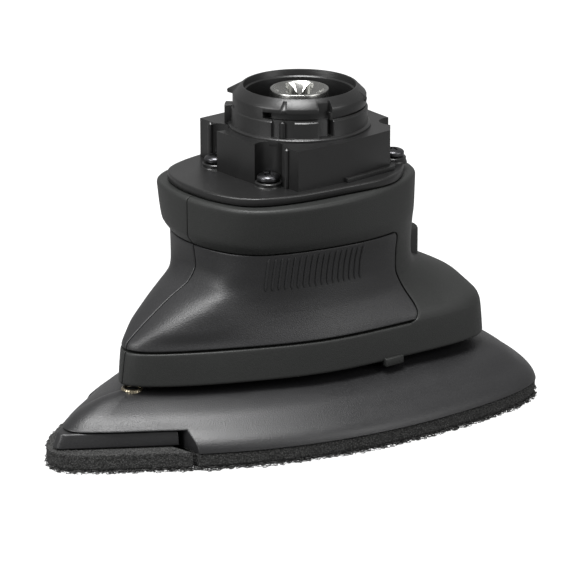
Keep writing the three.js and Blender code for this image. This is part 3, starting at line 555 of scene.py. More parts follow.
def make_camera():
    back = direction_to(CAMERA_AZIMUTH, CAMERA_ELEVATION)
    data = bpy.data.cameras.new("camera")
    data.sensor_width = 36
    data.lens = CAMERA_LENS
    data.shift_x, data.shift_y = CAMERA_SHIFT
    data.clip_end = 20
    camera = linked("camera", data)
    camera.location = (Vector(CAMERA_TARGET) + back * CAMERA_DISTANCE) * MM
    camera.rotation_mode = "QUATERNION"
    camera.rotation_quaternion = (-back).to_track_quat("-Z", "Y")
    bpy.context.scene.camera = camera


make_camera()


# ------------------------------------------------------------------ more shapes
def loft(name, rings, smooth_angle=35):
    """Closed body through closed rings of equal point count, capped at both ends."""
    rings = np.array(rings)
    rows, columns = rings.shape[:2]
    faces = grid_faces(rows, columns, closed=True)
    faces += [tuple(range(columns)), tuple((rows - 1) * columns + k for k in range(columns))]
    return new_object(name, rings.reshape(-1, 3), faces, smooth_angle)


def at_height(ring, z):
    return np.column_stack([ring, np.full(len(ring), z)])


def mirrored(half):
    return [*half, *[(x, -y) for x, y in half[-2:0:-1]]]


def capsule(name, ends, radius, sides=14, flat=1.0):
    """Rod with round ends through a list of points, flattened along its second normal."""
    points = [Vector(p) for p in ends]
    rows = []
    last = len(points) - 1
    normals = [(points[min(k + 1, last)] - points[max(k - 1, 0)]).normalized() for k in range(len(points))]
    side = normals[0].orthogonal().normalized()
    for k, point in enumerate(points):
        side = (side - normals[k] * side.dot(normals[k])).normalized()
        other = normals[k].cross(side)
        swell = radius * (0.35 if k in (0, last) else 1)
        rows.append([point + side * swell * math.cos(t) + other * swell * flat * math.sin(t)
                     for t in (2 * math.pi * s / sides for s in range(sides))])
    return loft(name, rows)


# ------------------------------------------------------------------ adapter
FLANGE_HALF = [(-33.2, 0), (-32.8, 6), (-30.4, 13.6), (-26.4, 18), (-16.3, 21.4), (-2.4, 23), (10.6, 23),
               (18.6, 17.8), (23.2, 10.8), (24.4, 0)]
BLOCK_HALF = [(-20.2, 0), (-20, 7.7), (-16, 13.2), (-16, 19.4), (-1.4, 20), (13.5, 18.6), (14.8, 17.2),
              (20.6, 10.4), (21.4, 0)]
ADAPTER_SCREWS = [(-18.1, 10.4), (-18.1, -10.4), (19.4, 12.8), (19.4, -12.8)]
POCKET_R = 3.5
BOSS_R = 3.3
BOSS_RISE = 1.2
COLLAR_R = 16.5
LIP_R = 14.4
CUP_R = 13.4
CUP_FLOOR = BLOCK_TOP - 2.8
LEDGE_R = 17.6
SLOT_TOP = COLLAR_TOP - 3.2
SLOT_BOTTOM = COLLAR_TOP - 5.0
HUB_R = 14.5
HUB_BOTTOM = span("adapter")[0][2]


def flange():
    ring = smooth_ring(FLANGE_HALF)
    edge = [(0.25, FLANGE_BOTTOM), (0.08, FLANGE_BOTTOM + 0.08), (0, FLANGE_BOTTOM + 0.25)]
    edge += [(0.45 * (1 - math.cos(a)), FLANGE_TOP - 0.45 * (1 - math.sin(a)))
             for a in np.radians([0, 22, 45, 68, 90])]
    edge += [(1.2, FLANGE_TOP), (3, FLANGE_TOP)]
    return loft("flange", [at_height(shrink(ring, d, *SHELL_SPINE), z) for d, z in edge])


def key_block():
    block = prism("block", mirrored(BLOCK_HALF), FLANGE_TOP - 0.5, BLOCK_TOP)
    pockets = [lathe("pocket", [(0, FLANGE_TOP - 1), (POCKET_R, FLANGE_TOP - 1), (POCKET_R, BLOCK_TOP + 1),
                                (0, BLOCK_TOP + 1)], 48, x, y) for x, y in ADAPTER_SCREWS]
    block = bevelled(boolean(block, pockets), 0.4, 4)
    curb_half = [(-1.9, 19.6), (-1.9, 21), (14, 19.7), (15.6, 18.2), (21.5, 11), (20.4, 10.2), (13.4, 17.4)]
    curbs = []
    for side in (1, -1):
        curb = prism("curb", [(x, y * side) for x, y in curb_half], FLANGE_TOP - 0.3, FLANGE_TOP + 1.1)
        cutter = lathe("clear", [(0, FLANGE_TOP - 1), (POCKET_R, FLANGE_TOP - 1), (POCKET_R, FLANGE_TOP + 3),
                                 (0, FLANGE_TOP + 3)], 48, 19.4, 12.8 * side)
        curbs.append(bevelled(boolean(curb, [cutter]), 0.25, 3))
    heights = (FLANGE_TOP - 0.2, FLANGE_TOP + 0.1, BLOCK_TOP - 0.5, BLOCK_TOP - 0.1)
    beads = [capsule("bead", [(-16.1, y, z) for z in heights], 0.75) for y in (15, -15)]
    radius, top = BOSS_R, FLANGE_TOP + BOSS_RISE
    bosses = [lathe("boss", [(0, FLANGE_TOP - 0.4), (radius + 0.25, FLANGE_TOP - 0.4),
                             (radius + 0.12, FLANGE_TOP + 0.1), (radius, FLANGE_TOP + 0.3),
                             (radius, top - 0.2), (radius - 0.2, top), (0, top)], 48, x, y)
              for x, y in ADAPTER_SCREWS]
    return [block, *curbs, *beads, *bosses]


def collar():
    """Bayonet collar: a ring with a conical lip, two slots, two entry channels and ramps on the lip."""
    ring = lathe("collar", [
        (CUP_R, CUP_FLOOR), (CUP_R, COLLAR_TOP - 1.9), (CUP_R + 0.35, COLLAR_TOP - 1.6),
        (LIP_R - 0.5, COLLAR_TOP - 0.12), (LIP_R - 0.2, COLLAR_TOP), (LIP_R, COLLAR_TOP - 0.1),
        (COLLAR_R - 0.12, COLLAR_TOP - 2.1), (COLLAR_R, COLLAR_TOP - 2.35), (COLLAR_R, SLOT_BOTTOM - 0.35),
        (COLLAR_R + 0.35, SLOT_BOTTOM - 0.6), (COLLAR_R + 0.35, BLOCK_TOP + 0.8),
        (LEDGE_R - 0.3, BLOCK_TOP + 0.7), (LEDGE_R, BLOCK_TOP + 0.45), (LEDGE_R, BLOCK_TOP - 1),
        (CUP_R + 1, BLOCK_TOP - 1), (CUP_R + 1, CUP_FLOOR), (CUP_R, CUP_FLOOR),
    ], 180)
    tools = []
    ribs = []
    for turn in (0, 180):
        tools += [
            sector("slot", 15.0, 20, SLOT_BOTTOM, SLOT_TOP, turn - 156.4, turn - 102),
            sector("hole", 13.8, 20, SLOT_BOTTOM + 0.1, SLOT_TOP - 0.1, turn - 161.8, turn - 156),
            sector("channel", 15.3, 20, BLOCK_TOP + 0.8, COLLAR_TOP + 1, turn - 112.4, turn - 102),
            sector("deep", 14.7, 20, BLOCK_TOP + 0.9, SLOT_BOTTOM - 0.2, turn - 102.5, turn - 99.6),
            sector("notch", 14.9, 20, SLOT_TOP - 0.2, COLLAR_TOP + 1, turn - 102.5, turn - 100.2),
            sector("step", COLLAR_R - 0.7, 20, SLOT_BOTTOM, SLOT_BOTTOM + 0.45, turn - 100, turn - 40),
            sector("well", COLLAR_R - 0.45, 20, BLOCK_TOP + 0.8, SLOT_BOTTOM + 0.2, turn - 153, turn - 133),
        ]
        centre = math.radians(turn - 143.5)
        heights = (BLOCK_TOP + 0.3, BLOCK_TOP + 0.9, SLOT_BOTTOM - 0.6, SLOT_BOTTOM - 0.2)
        ribs.append(capsule("rib", [(16.15 * math.cos(centre), 16.15 * math.sin(centre), z) for z in heights],
                            0.85))
    ring = bevelled(boolean(ring, tools), 0.14, 2, angle=38)
    lug = bevelled(sector("lug", 16, 18.5, BLOCK_TOP + 0.2, SLOT_BOTTOM - 0.3, 130, 142), 0.3, 3)
    return [ring, lug, *ribs, *[ramp(turn) for turn in (-142.7, 37.3, 127.3, -52.7)]]


def ramp(angle):
    """Three-sided ramp on the lip's cone that ends in a tooth over the slot."""
    out = 18.4 if angle == 127.3 else 17.0
    low = SLOT_TOP - 0.1
    verts = [(LIP_R + 0.1, -0.5, COLLAR_TOP - 0.25), (LIP_R + 0.1, 0.5, COLLAR_TOP - 0.25),
             (out, -0.35, low + 0.9), (out, 0.35, low + 0.9), (out - 0.1, -0.4, low + 0.1),
             (out - 0.1, 0.4, low + 0.1),
             (COLLAR_R - 0.8, -1.9, low), (COLLAR_R - 0.8, 1.9, low),
             (COLLAR_R - 0.8, -1.6, COLLAR_TOP - 2.0), (COLLAR_R - 0.8, 1.6, COLLAR_TOP - 2.0),
             (LIP_R - 0.2, 0, COLLAR_TOP - 1.5)]
    work = bmesh.new()
    for v in verts:
        work.verts.new(Vector(v) * MM)
    bmesh.ops.convex_hull(work, input=work.verts)
    mesh = bpy.data.meshes.new("ramp")
    work.to_mesh(mesh)
    work.free()
    obj = linked("ramp", mesh)
    tidy(obj)
    return turned(bevelled(obj, 0.15, 2, angle=25), angle)


def cup_floor():
    """Floor of the cup, with the hub under the flange."""
    bore = 8.4
    return lathe("cup_floor", [
        (bore, CUP_FLOOR), (CUP_R + 0.6, CUP_FLOOR), (CUP_R + 0.6, CUP_FLOOR - 1.2), (HUB_R, CUP_FLOOR - 1.6),
        (HUB_R, HUB_BOTTOM), (HUB_R - 3.2, HUB_BOTTOM), (HUB_R - 3.2, HUB_BOTTOM + 9),
        (bore, HUB_BOTTOM + 10), (bore, CUP_FLOOR),
    ], 96)


SOCKET_TURN = 21  # degrees from +X to a corner of the hexagon


def drive_socket():
    """Bright socket: a cone round a hexagonal bore, with six slots from the bore to the rim."""
    low = span("drive_socket")[0][2]
    radius = 7.3
    body = lathe("socket", [
        (0, low), (5.6, low), (5.6, CUP_FLOOR + 0.6), (radius, CUP_FLOOR + 1.2), (radius, SOCKET_TOP - 0.35),
        (radius - 0.12, SOCKET_TOP - 0.1), (radius - 0.35, SOCKET_TOP), (radius - 0.7, SOCKET_TOP),
        (radius - 0.85, SOCKET_TOP - 0.12), (3.4, SOCKET_TOP - 2.3), (0, SOCKET_TOP - 2.3),
    ], 120)
    bore = prism("bore", [(3.3 * math.cos(t), 3.3 * math.sin(t))
                          for t in np.radians(np.arange(6) * 60 + SOCKET_TURN)],
                 SOCKET_TOP - 7.6, SOCKET_TOP + 1)
    slots = []
    for k in range(6):
        slot = prism("slot", [(0, -1.3), (5.0, -1.0), (6.1, -0.55), (6.1, 0.55), (5.0, 1.0), (0, 1.3)],
                     SOCKET_TOP - 4.2, SOCKET_TOP + 1)
        slots.append(turned(slot, SOCKET_TURN + 60 * k))
    return bevelled(boolean(body, [bore, *slots]), 0.12, 2, angle=38)


SCREW_HEAD = 2.8
HEAD_RISE = SCREW_HEAD * 0.62


def cross_screw(name, x, y, z, turn, head=SCREW_HEAD):
    """Pan head with a cross recess, over a short shank, its seat at z."""
    rise = head * 0.62
    crown = [(head * math.sin(a), rise * (0.42 + 0.58 * math.cos(a)))
             for a in np.radians(np.arange(0, 91, 9))]
    body = lathe("head", [(0, -8), (1.3, -8), (1.3, 0), (head - 0.15, 0), (head, 0.15),
                          *crown[::-1][:-1], (0, rise)], 64)
    arms = []
    for angle in (0, 90):
        arm = slab("arm", -head * 0.56, head * 0.56, -head * 0.13, head * 0.13, rise * 0.3, rise + 1)
        arms.append(turned(arm, angle))
    well = lathe("well", [(0, rise * 0.3), (head * 0.2, rise * 0.3), (head * 0.34, rise + 1),
                          (0, rise + 1)], 4)
    body = bevelled(boolean(body, [*arms, well]), 0.07, 2, angle=38)
    body.name = name
    turned(body, turn)
    return moved(body, x, y, z)


# ------------------------------------------------------------------ platen and tip block
CROWN = [(0, 0), (0.5, 1.2), (2, 2.8), (4.6, 4.6), (7.6, 6.8), (11.5, 8.6), (16, 10), (21, 10.7)]
NOTCH_DEPTH = 9.0
TIP_SCREW_X = -52.3


def crown_profile():
    """Distance in and height of the platen's crown, evenly stepped along a smooth line."""
    points = np.array(CROWN, float)
    step = np.concatenate([[0], np.cumsum(np.sqrt(np.linalg.norm(np.diff(points, axis=0), axis=1)))])
    fine = np.linspace(0, step[-1], 240)
    line = np.stack([natural_spline(step, points[:, k], fine) for k in range(2)], 1)
    line[:, 1] = np.maximum.accumulate(line[:, 1])
    return line


def natural_spline(t, values, at):
    """Natural cubic spline through values at t."""
    count = len(t)
    h = np.diff(t)
    matrix = np.eye(count)
    right = np.zeros(count)
    for k in range(1, count - 1):
        matrix[k, k - 1: k + 2] = h[k - 1], 2 * (h[k - 1] + h[k]), h[k]
        right[k] = 6 * ((values[k + 1] - values[k]) / h[k] - (values[k] - values[k - 1]) / h[k - 1])
    bend = np.linalg.solve(matrix, right)
    k = np.clip(np.searchsorted(t, at) - 1, 0, count - 2)
    s, r = at - t[k], t[k + 1] - at
    return ((bend[k] * r**3 + bend[k + 1] * s**3) / (6 * h[k]) + (values[k] / h[k] - bend[k] * h[k] / 6) * r
            + (values[k + 1] / h[k] - bend[k + 1] * h[k] / 6) * s)


def pad_ring_columns(split_steps):
    """Closed pad outline with extra columns at the line where the tip block's notch ends."""
    half = pad_half()
    length = np.concatenate([[0], np.cumsum(np.linalg.norm(np.diff(half, axis=0), axis=1))])
    split = float(np.interp(TIP_SPLIT_X + 0.9, half[: 2 * 41, 0], length[: 2 * 41]))
    at = np.concatenate([np.linspace(0, split - 1.2, 46), split + split_steps,
                         np.linspace(split + 1.2, length[-1], 150)])
    points = np.stack([np.interp(at, length, half[:, k]) for k in range(2)], 1)
    beside = at - split
    ring = np.concatenate([points, points[-2:0:-1] * (1, -1)])
    return ring, np.concatenate([beside, beside[-2:0:-1]])


def platen():
    steps = np.array([-0.6, -0.01, 0.0, 0.03, 0.09, 0.18, 0.35])
    ring, beside = pad_ring_columns(steps)
    profile = crown_profile()
    heights = PLATEN_BOTTOM + profile[:, 1]
    notch_rows = NOTCH_TOP + np.array([-0.01, 0.0, 0.03, 0.09, 0.18, 0.35, 0.6])
    lows = PLATEN_BOTTOM + np.array([0, 0.05, 0.15, 0.3, 0.5, 0.8, 1.2, 1.7, 2.3, 2.9, 3.5, 4.0])
    highs = np.concatenate([np.arange(NOTCH_TOP + 1.0, PLATEAU - 1.2, 0.35),
                            PLATEAU - np.array([1.2, .9, .65, .45, .3, .2, .12, .06, .02, 0])])
    rows = []
    middle = np.stack([np.clip(ring[:, 0], *PAD_SPINE), np.zeros(len(ring))], 1)
    room = np.minimum(1, CROWN_SHARE * np.linalg.norm(middle - ring, axis=1) / CROWN[-1][0])
    for z in np.unique(np.round(np.concatenate([lows, notch_rows, highs]), 4)):
        d = float(np.interp(z, heights, profile[:, 0]))
        inset = d * room
        above = z - NOTCH_TOP
        if above < -0.005:
            inset = inset + np.where(beside < -0.005, NOTCH_DEPTH, lip_inset(np.maximum(beside, 0), 0.35))
        elif above < 0.35:
            inset = inset + lip_inset(np.hypot(max(above, 0), np.maximum(beside, 0)), 0.35)
        rows.append(at_height(shrink(ring, inset, *PAD_SPINE), z))
    body = loft("platen", rows)
    top = span("platen")[1][2]
    hub = lathe("hub", [(14.1, PLATEAU - 2), (17.2, PLATEAU - 2), (17.2, top - 0.3), (16.9, top), (14.4, top),
                        (14.1, top - 0.3), (14.1, PLATEAU - 2)], 96, THROW, 0)
    return joined("platen_body", [body, hub])


def tip_block():
    def wedge(z, tip, half):
        return np.array([(tip, 0.9, z), (tip + 0.9, 1.9, z), (TIP_SPLIT_X - 0.6, half, z),
                         (TIP_SPLIT_X - 0.6, -half, z), (tip + 0.9, -1.9, z), (tip, -0.9, z)])
    rings = [wedge(TIP_BLOCK_BOTTOM, -75.6, 17.4), wedge(TIP_BLOCK_TOP, -74.1, 16.7)]
    body = loft("tip_block_body", rings, 20)
    return bevelled(body, 0.4, 4, angle=25)


def tip_insert():
    top = span("tip_insert")[1][2]
    ring = lathe("insert", [(1.75, top - 6), (2.7, top - 6), (2.7, top - 0.45), (2.55, top - 0.2), (2.3, top),
                            (1.95, top), (1.75, top - 0.3), (1.75, top - 6)], 64)
    knurls = [turned(slab("knurl", 2.45, 3, -0.12, 0.12, top - 0.5, top + 1), 15 * k) for k in range(24)]
    ring = boolean(ring, knurls)
    return moved(ring, TIP_SCREW_X, 0, 0)


# ------------------------------------------------------------------ materials
def colour_of(text):
    """Linear colour from a six-digit hexadecimal one."""
    parts = [int(text[k: k + 2], 16) / 255 for k in (0, 2, 4)]
    return [(c / 12.92 if c <= 0.04045 else ((c + 0.055) / 1.055) ** 2.4) for c in parts] + [1.0]


class Surface:
    """A material whose nodes are wired step by step, in object coordinates measured in millimetres."""

    def __init__(self, name, metallic=0.0, specular=0.5):
        self.material = bpy.data.materials.new(name)
        self.material.use_nodes = True
        self.tree = self.material.node_tree
        self.shader = self.tree.nodes["Principled BSDF"]
        self.shader.inputs["Metallic"].default_value = metallic
        self.shader.inputs["Specular IOR Level"].default_value = specular
        coordinates = self.tree.nodes.new("ShaderNodeTexCoord")
        self.place = self.tree.nodes.new("ShaderNodeMapping")
        self.place.inputs["Scale"].default_value = (1 / MM,) * 3
        self.tree.links.new(coordinates.outputs["Object"], self.place.inputs["Vector"])

    def noise(self, per_mm, detail=3.0, roughness=0.6, stretch=None):
        node = self.tree.nodes.new("ShaderNodeTexNoise")
        node.inputs["Scale"].default_value = per_mm
        node.inputs["Detail"].default_value = detail
        node.inputs["Roughness"].default_value = roughness
        source = self.place.outputs["Vector"]
        if stretch:
            scaled = self.tree.nodes.new("ShaderNodeMapping")
            scaled.inputs["Scale"].default_value = stretch
            self.tree.links.new(source, scaled.inputs["Vector"])
            source = scaled.outputs["Vector"]
        self.tree.links.new(source, node.inputs["Vector"])
        return node.outputs["Fac"]

    def cells(self, per_mm, feature="F1"):
        node = self.tree.nodes.new("ShaderNodeTexVoronoi")
        node.feature = feature
        node.inputs["Scale"].default_value = per_mm
        self.tree.links.new(self.place.outputs["Vector"], node.inputs["Vector"])
        return node.outputs["Distance"]

    def ramp(self, value, stops):
        node = self.tree.nodes.new("ShaderNodeValToRGB")
        elements = node.color_ramp.elements
        while len(elements) < len(stops):
            elements.new(0.5)
        for element, (at, colour) in zip(elements, stops):
            element.position = at
            element.color = colour if isinstance(colour, list) else (colour, colour, colour, 1)
        self.tree.links.new(value, node.inputs["Fac"])
        return node.outputs["Color"]

    def mixed(self, share, a, b):
        """Blend of two colours, each a socket or a colour, by a share socket."""
        node = self.tree.nodes.new("ShaderNodeMix")
        node.data_type = "RGBA"
        self.tree.links.new(share, node.inputs[0])
        for socket, value in ((node.inputs[6], a), (node.inputs[7], b)):
            if isinstance(value, list):
                socket.default_value = value
            else:
                self.tree.links.new(value, socket)
        return node.outputs[2]

    def spread(self, value, low, high, start=0.3, end=0.7):
        """A value's span from start to end, mapped on to low to high."""
        node = self.tree.nodes.new("ShaderNodeMapRange")
        for name, number in (("From Min", start), ("From Max", end), ("To Min", low), ("To Max", high)):
            node.inputs[name].default_value = number
        self.tree.links.new(value, node.inputs["Value"])
        return node.outputs["Result"]

    def sum(self, *terms):
        """Weighted sum of value sockets, given as (socket, weight) pairs."""
        total = None
        for socket, weight in terms:
            node = self.tree.nodes.new("ShaderNodeMath")
            node.operation = "MULTIPLY_ADD"
            self.tree.links.new(socket, node.inputs[0])
            node.inputs[1].default_value = weight
            node.inputs[2].default_value = 0
            if total is not None:
                self.tree.links.new(total, node.inputs[2])
            total = node.outputs[0]
        return total

    def colour(self, socket):
        self.tree.links.new(socket, self.shader.inputs["Base Color"])

    def roughness(self, socket):
        self.tree.links.new(socket, self.shader.inputs["Roughness"])

    def bump(self, height, distance_mm, strength=1.0):
        node = self.tree.nodes.new("ShaderNodeBump")
        node.inputs["Strength"].default_value = strength
        node.inputs["Distance"].default_value = distance_mm * MM
        self.tree.links.new(height, node.inputs["Height"])
        self.tree.links.new(node.outputs["Normal"], self.shader.inputs["Normal"])


def shaded(hex_colour, factor):
    return [c * factor for c in colour_of(hex_colour)[:3]] + [1.0]


def moulded(name, hex_colour, rough, grain_per_mm, grain_depth, painted_glint, specular=0.5, blotch=0.12):
    """Spark-eroded plastic: a fine grain, faint cloudy colour, and tiny light specks of painted glint that
    stand in for the grain's sparkle in highlights.
    """
    surface = Surface(name, specular=specular)
    grain = surface.noise(grain_per_mm, 4, 0.65)
    pits = surface.cells(grain_per_mm * 1.3)
    cloud = surface.noise(0.06, 3)
    base = surface.ramp(cloud, [(0.3, shaded(hex_colour, 1 - blotch)), (0.7, shaded(hex_colour, 1 + blotch))])
    fine = surface.ramp(grain, [(0.36, shaded(hex_colour, 0.72)), (0.64, shaded(hex_colour, 1.32))])
    share = surface.spread(pits, 0.35, 0.6, 0.1, 0.6)
    base = surface.mixed(share, base, fine)
    # painted glints: light specks, four times the base colour, that stand in for the grain's sparkle in
    # highlights and show on every side
    specks = surface.spread(surface.noise(grain_per_mm * 0.85, 1), 0.0, painted_glint, 0.66, 0.74)
    base = surface.mixed(specks, base, shaded(hex_colour, 4.2))
    surface.colour(base)
    surface.roughness(surface.spread(surface.sum((grain, 0.6), (cloud, 0.4)), rough - 0.08, rough + 0.1))
    surface.bump(surface.sum((grain, 1.0), (pits, 0.6)), grain_depth)
    return surface.material


def metal(name, hex_colour, rough, brush=(1, 1, 12), depth=0.006, spots=0.0):
    surface = Surface(name, metallic=1.0)
    lines = surface.noise(1.6, 4, 0.7, stretch=brush)
    haze = surface.noise(0.35, 3)
    base = surface.ramp(haze, [(0.3, shaded(hex_colour, 0.86)), (0.7, shaded(hex_colour, 1.06))])
    if spots:
        dull = surface.spread(surface.noise(2.4, 2), 0.0, spots, 0.6, 0.7)
        base = surface.mixed(dull, base, shaded(hex_colour, 0.5))
    surface.colour(base)
    surface.roughness(surface.spread(surface.sum((lines, 0.6), (haze, 0.4)), rough * 0.8, rough * 1.3))
    surface.bump(lines, depth)
    return surface.material


def foam_material():
    surface = Surface("foam", specular=0.25)
    cells = surface.cells(1.9)
    pores = surface.cells(5.0)
    crumbs = surface.noise(2.6, 5, 0.75)
    base = surface.ramp(cells, [(0.08, colour_of("4a4a49")), (0.4, colour_of("2c2c2c")),
                                (0.75, colour_of("161616"))])
    share = surface.spread(crumbs, 0.0, 0.8, 0.4, 0.66)
    base = surface.mixed(share, base, colour_of("363635"))
    specks = surface.spread(surface.noise(3.4, 1), 0.0, 0.7, 0.66, 0.72)
    surface.colour(surface.mixed(specks, base, colour_of("6e6e6c")))
    surface.shader.inputs["Roughness"].default_value = 0.92
    surface.bump(surface.sum((cells, -0.8), (pores, -0.4), (crumbs, 0.8)), 0.32)
    return surface.material


def fibre_material(name, dark, light):
    surface = Surface(name, specular=0.35)
    strand = surface.noise(1.3, 4, 0.7)
    broad = surface.noise(0.12, 2)
    surface.colour(surface.ramp(surface.sum((strand, 0.75), (broad, 0.25)), [(0.38, dark), (0.62, light)]))
    surface.roughness(surface.spread(strand, 0.55, 0.85))
    surface.bump(surface.noise(6, 3), 0.04)
    return surface.material


def rubber_material():
    surface = Surface("rubber", specular=0.35)
    grain = surface.noise(2.2, 4)
    surface.colour(surface.ramp(grain, [(0.35, colour_of("161616")), (0.65, colour_of("232322"))]))
    surface.roughness(surface.spread(grain, 0.62, 0.82))
    surface.bump(grain, 0.03)
    return surface.material


# the sixth number of each plastic is the share of painted glint specks in its colour
SHELL = moulded("shell_plastic", "1c1d1c", 0.50, 3.1, 0.040, 0.12, specular=0.35)
GRIP = moulded("grip_plastic", "19191a", 0.42, 2.6, 0.045, 0.16, specular=0.42)
ADAPTER = moulded("adapter_plastic", "131313", 0.34, 3.6, 0.016, 0.06, specular=0.42)
PLATEN = moulded("platen_plastic", "19191a", 0.40, 2.7, 0.042, 0.16, specular=0.42)
FOAM = foam_material()
BACKING = fibre_material("hook_backing", colour_of("0e0e0e"), colour_of("1d1d1d"))
LOOPS = fibre_material("hook_loops", colour_of("141414"), colour_of("3a3a39"))
RUBBER = rubber_material()
DARK_STEEL = metal("dark_steel", "4c4c4e", 0.30, spots=0.3)
BRIGHT_STEEL = metal("bright_steel", "9a9a97", 0.24, brush=(1, 1, 5), depth=0.004)
RACE_STEEL = metal("race_steel", "b9b9b6", 0.26)
BRASS = metal("insert_metal", "a39a86", 0.30, brush=(6, 6, 1))
CAST = metal("cast_metal", "8f9092", 0.52, brush=(1, 1, 1), depth=0.03, spots=0.4)


def painted(obj, material):
    obj.data.materials.clear()
    obj.data.materials.append(material)
    return obj


# ------------------------------------------------------------------ grip ribs, spine and tab
RIB_COUNT = 17
RIB_PITCH = 1.55
RIB_FIRST_X = -24.4
RIB_LOW, RIB_HIGH = 38.5, 47.4
RIB_PROUD = 0.36
RIB_HALF = 0.38


def rib(side, x):
    """Slim rib that follows the grip's surface at one X, with tapered ends."""
    rows = []
    for z in np.linspace(RIB_LOW, RIB_HIGH, 22):
        line = half_line(shell_ring(z), side)
        at = length_to_x(line, x)
        (before, middle, after), _ = along(line, [at - 0.3, at, at + 0.3])
        tangent = (after - before) / np.linalg.norm(after - before)
        normal = np.array([-tangent[1], tangent[0]]) * side
        from_end = min(z - RIB_LOW, RIB_HIGH - z)
        taper = math.sqrt(max(0.02, min(1, from_end / 0.9)))
        turns = np.radians(np.arange(0, 360, 30))
        ring = [middle + tangent * RIB_HALF * taper * math.cos(t)
                + normal * (RIB_PROUD * taper if math.sin(t) > 0 else 0.3) * math.sin(t) - normal * 0.04
                for t in turns]
        rows.append(at_height(np.array(ring), z))
    return loft("rib", rows, 60)


def rear_spine(side):
    """Half of the upright rib behind the column, its outer edges well rounded."""
    x_out, half, low, high, corner = 31.9, 9.0, 31.0, 42.9, 1.3
    seam = SEAM_Y + side * SEAM_HALF_GAP
    rows = []
    ends = LIP_STEPS * 6.8
    for z in np.concatenate([low + ends, np.linspace(low + 2.6, high - 2.6, 8), high - ends[::-1]]):
        inset = float(lip_inset(min(z - low, high - z), corner))
        x, y = x_out - inset, half - inset
        arc = [(x - corner + corner * math.cos(t), (y - corner + corner * math.sin(t)) * side)
               for t in np.radians(np.arange(0, 91, 10))]
        rows.append(at_height(np.array([(22, seam), (x, seam), *arc, (22, y * side)]), z))
    return loft("spine", rows, 40)


def skirt_tab():
    tab = slab("tab", 4.8, 10.5, -28.2, -26.4, SKIRT_BOTTOM - 1.3, SKIRT_BOTTOM + 0.8)
    return bevelled(tab, 0.3, 3)


# ------------------------------------------------------------------ foam and hook-and-loop facing
PAD_STEP = 0.9
rng = np.random.default_rng(20240611)


def zone_outline(x0, x1, step=PAD_STEP):
    """Closed, evenly stepped outline of the pad between two X values, with eased corners."""
    half = resample(pad_half(), 1200)
    inside = half[(half[:, 0] > x0) & (half[:, 0] < x1)]
    ring = np.concatenate([inside, inside[::-1] * (1, -1)])
    ring = np.concatenate([ring, ring[:1]])
    count = int(np.linalg.norm(np.diff(ring, axis=0), axis=1).sum() / step)
    ring = resample(ring, count + 1)[:-1]
    for _ in range(2):
        ring = (np.roll(ring, 1, 0) + 2 * ring + np.roll(ring, -1, 0)) / 4
    return ring


def outward(ring):
    """Unit outward normals of a closed plan outline."""
    tangent = np.roll(ring, -1, 0) - np.roll(ring, 1, 0)
    normal = np.stack([tangent[:, 1], -tangent[:, 0]], 1)
    normal /= np.linalg.norm(normal, axis=1)[:, None]
    area = np.sum(ring[:, 0] * np.roll(ring[:, 1], -1) - np.roll(ring[:, 0], -1) * ring[:, 1])
    return normal * (1 if area > 0 else -1)


def rough(points, per_mm, seed):
    """Smooth noise from -1 to 1 at each point."""
    return np.array([noise.noise(Vector((float(x) * per_mm + seed, float(y) * per_mm, float(z) * per_mm)))
                     for x, y, z in points])


def foam_body(name, x0, x1, low, high, seed):
    """Foam pad with a crumbly cut side and eased edges."""
    ring = zone_outline(x0, x1, 0.55)
    normal = outward(ring)
    rows = []
    depth = high - low
    for share in np.array([0, 0.03, 0.1, 0.22, 0.36, 0.5, 0.64, 0.78, 0.9, 0.97, 1]):
        z = low + depth * share
        inset = float(lip_inset(min(share, 1 - share) * depth, 0.35)) + 0.16
        points = at_height(ring, z)
        torn = 0.16 * rough(points, 0.9, seed) + 0.10 * rough(points, 2.1, seed + 9) - 0.05
        lift = 0.0 if share in (0, 1) else 0.05
        moved_ring = ring + normal * (torn - inset)[:, None]
        heights = z + lift * rough(points, 1.5, seed + 20)
        rows.append(np.column_stack([moved_ring, heights]))
    return loft(name, rows, 50)


SCREW_WELL_R = 3.3


def well(low, high, radius):
    return lathe("well", [(0, low), (radius, low), (radius, high), (0, high)], 40, TIP_SCREW_X, 0)


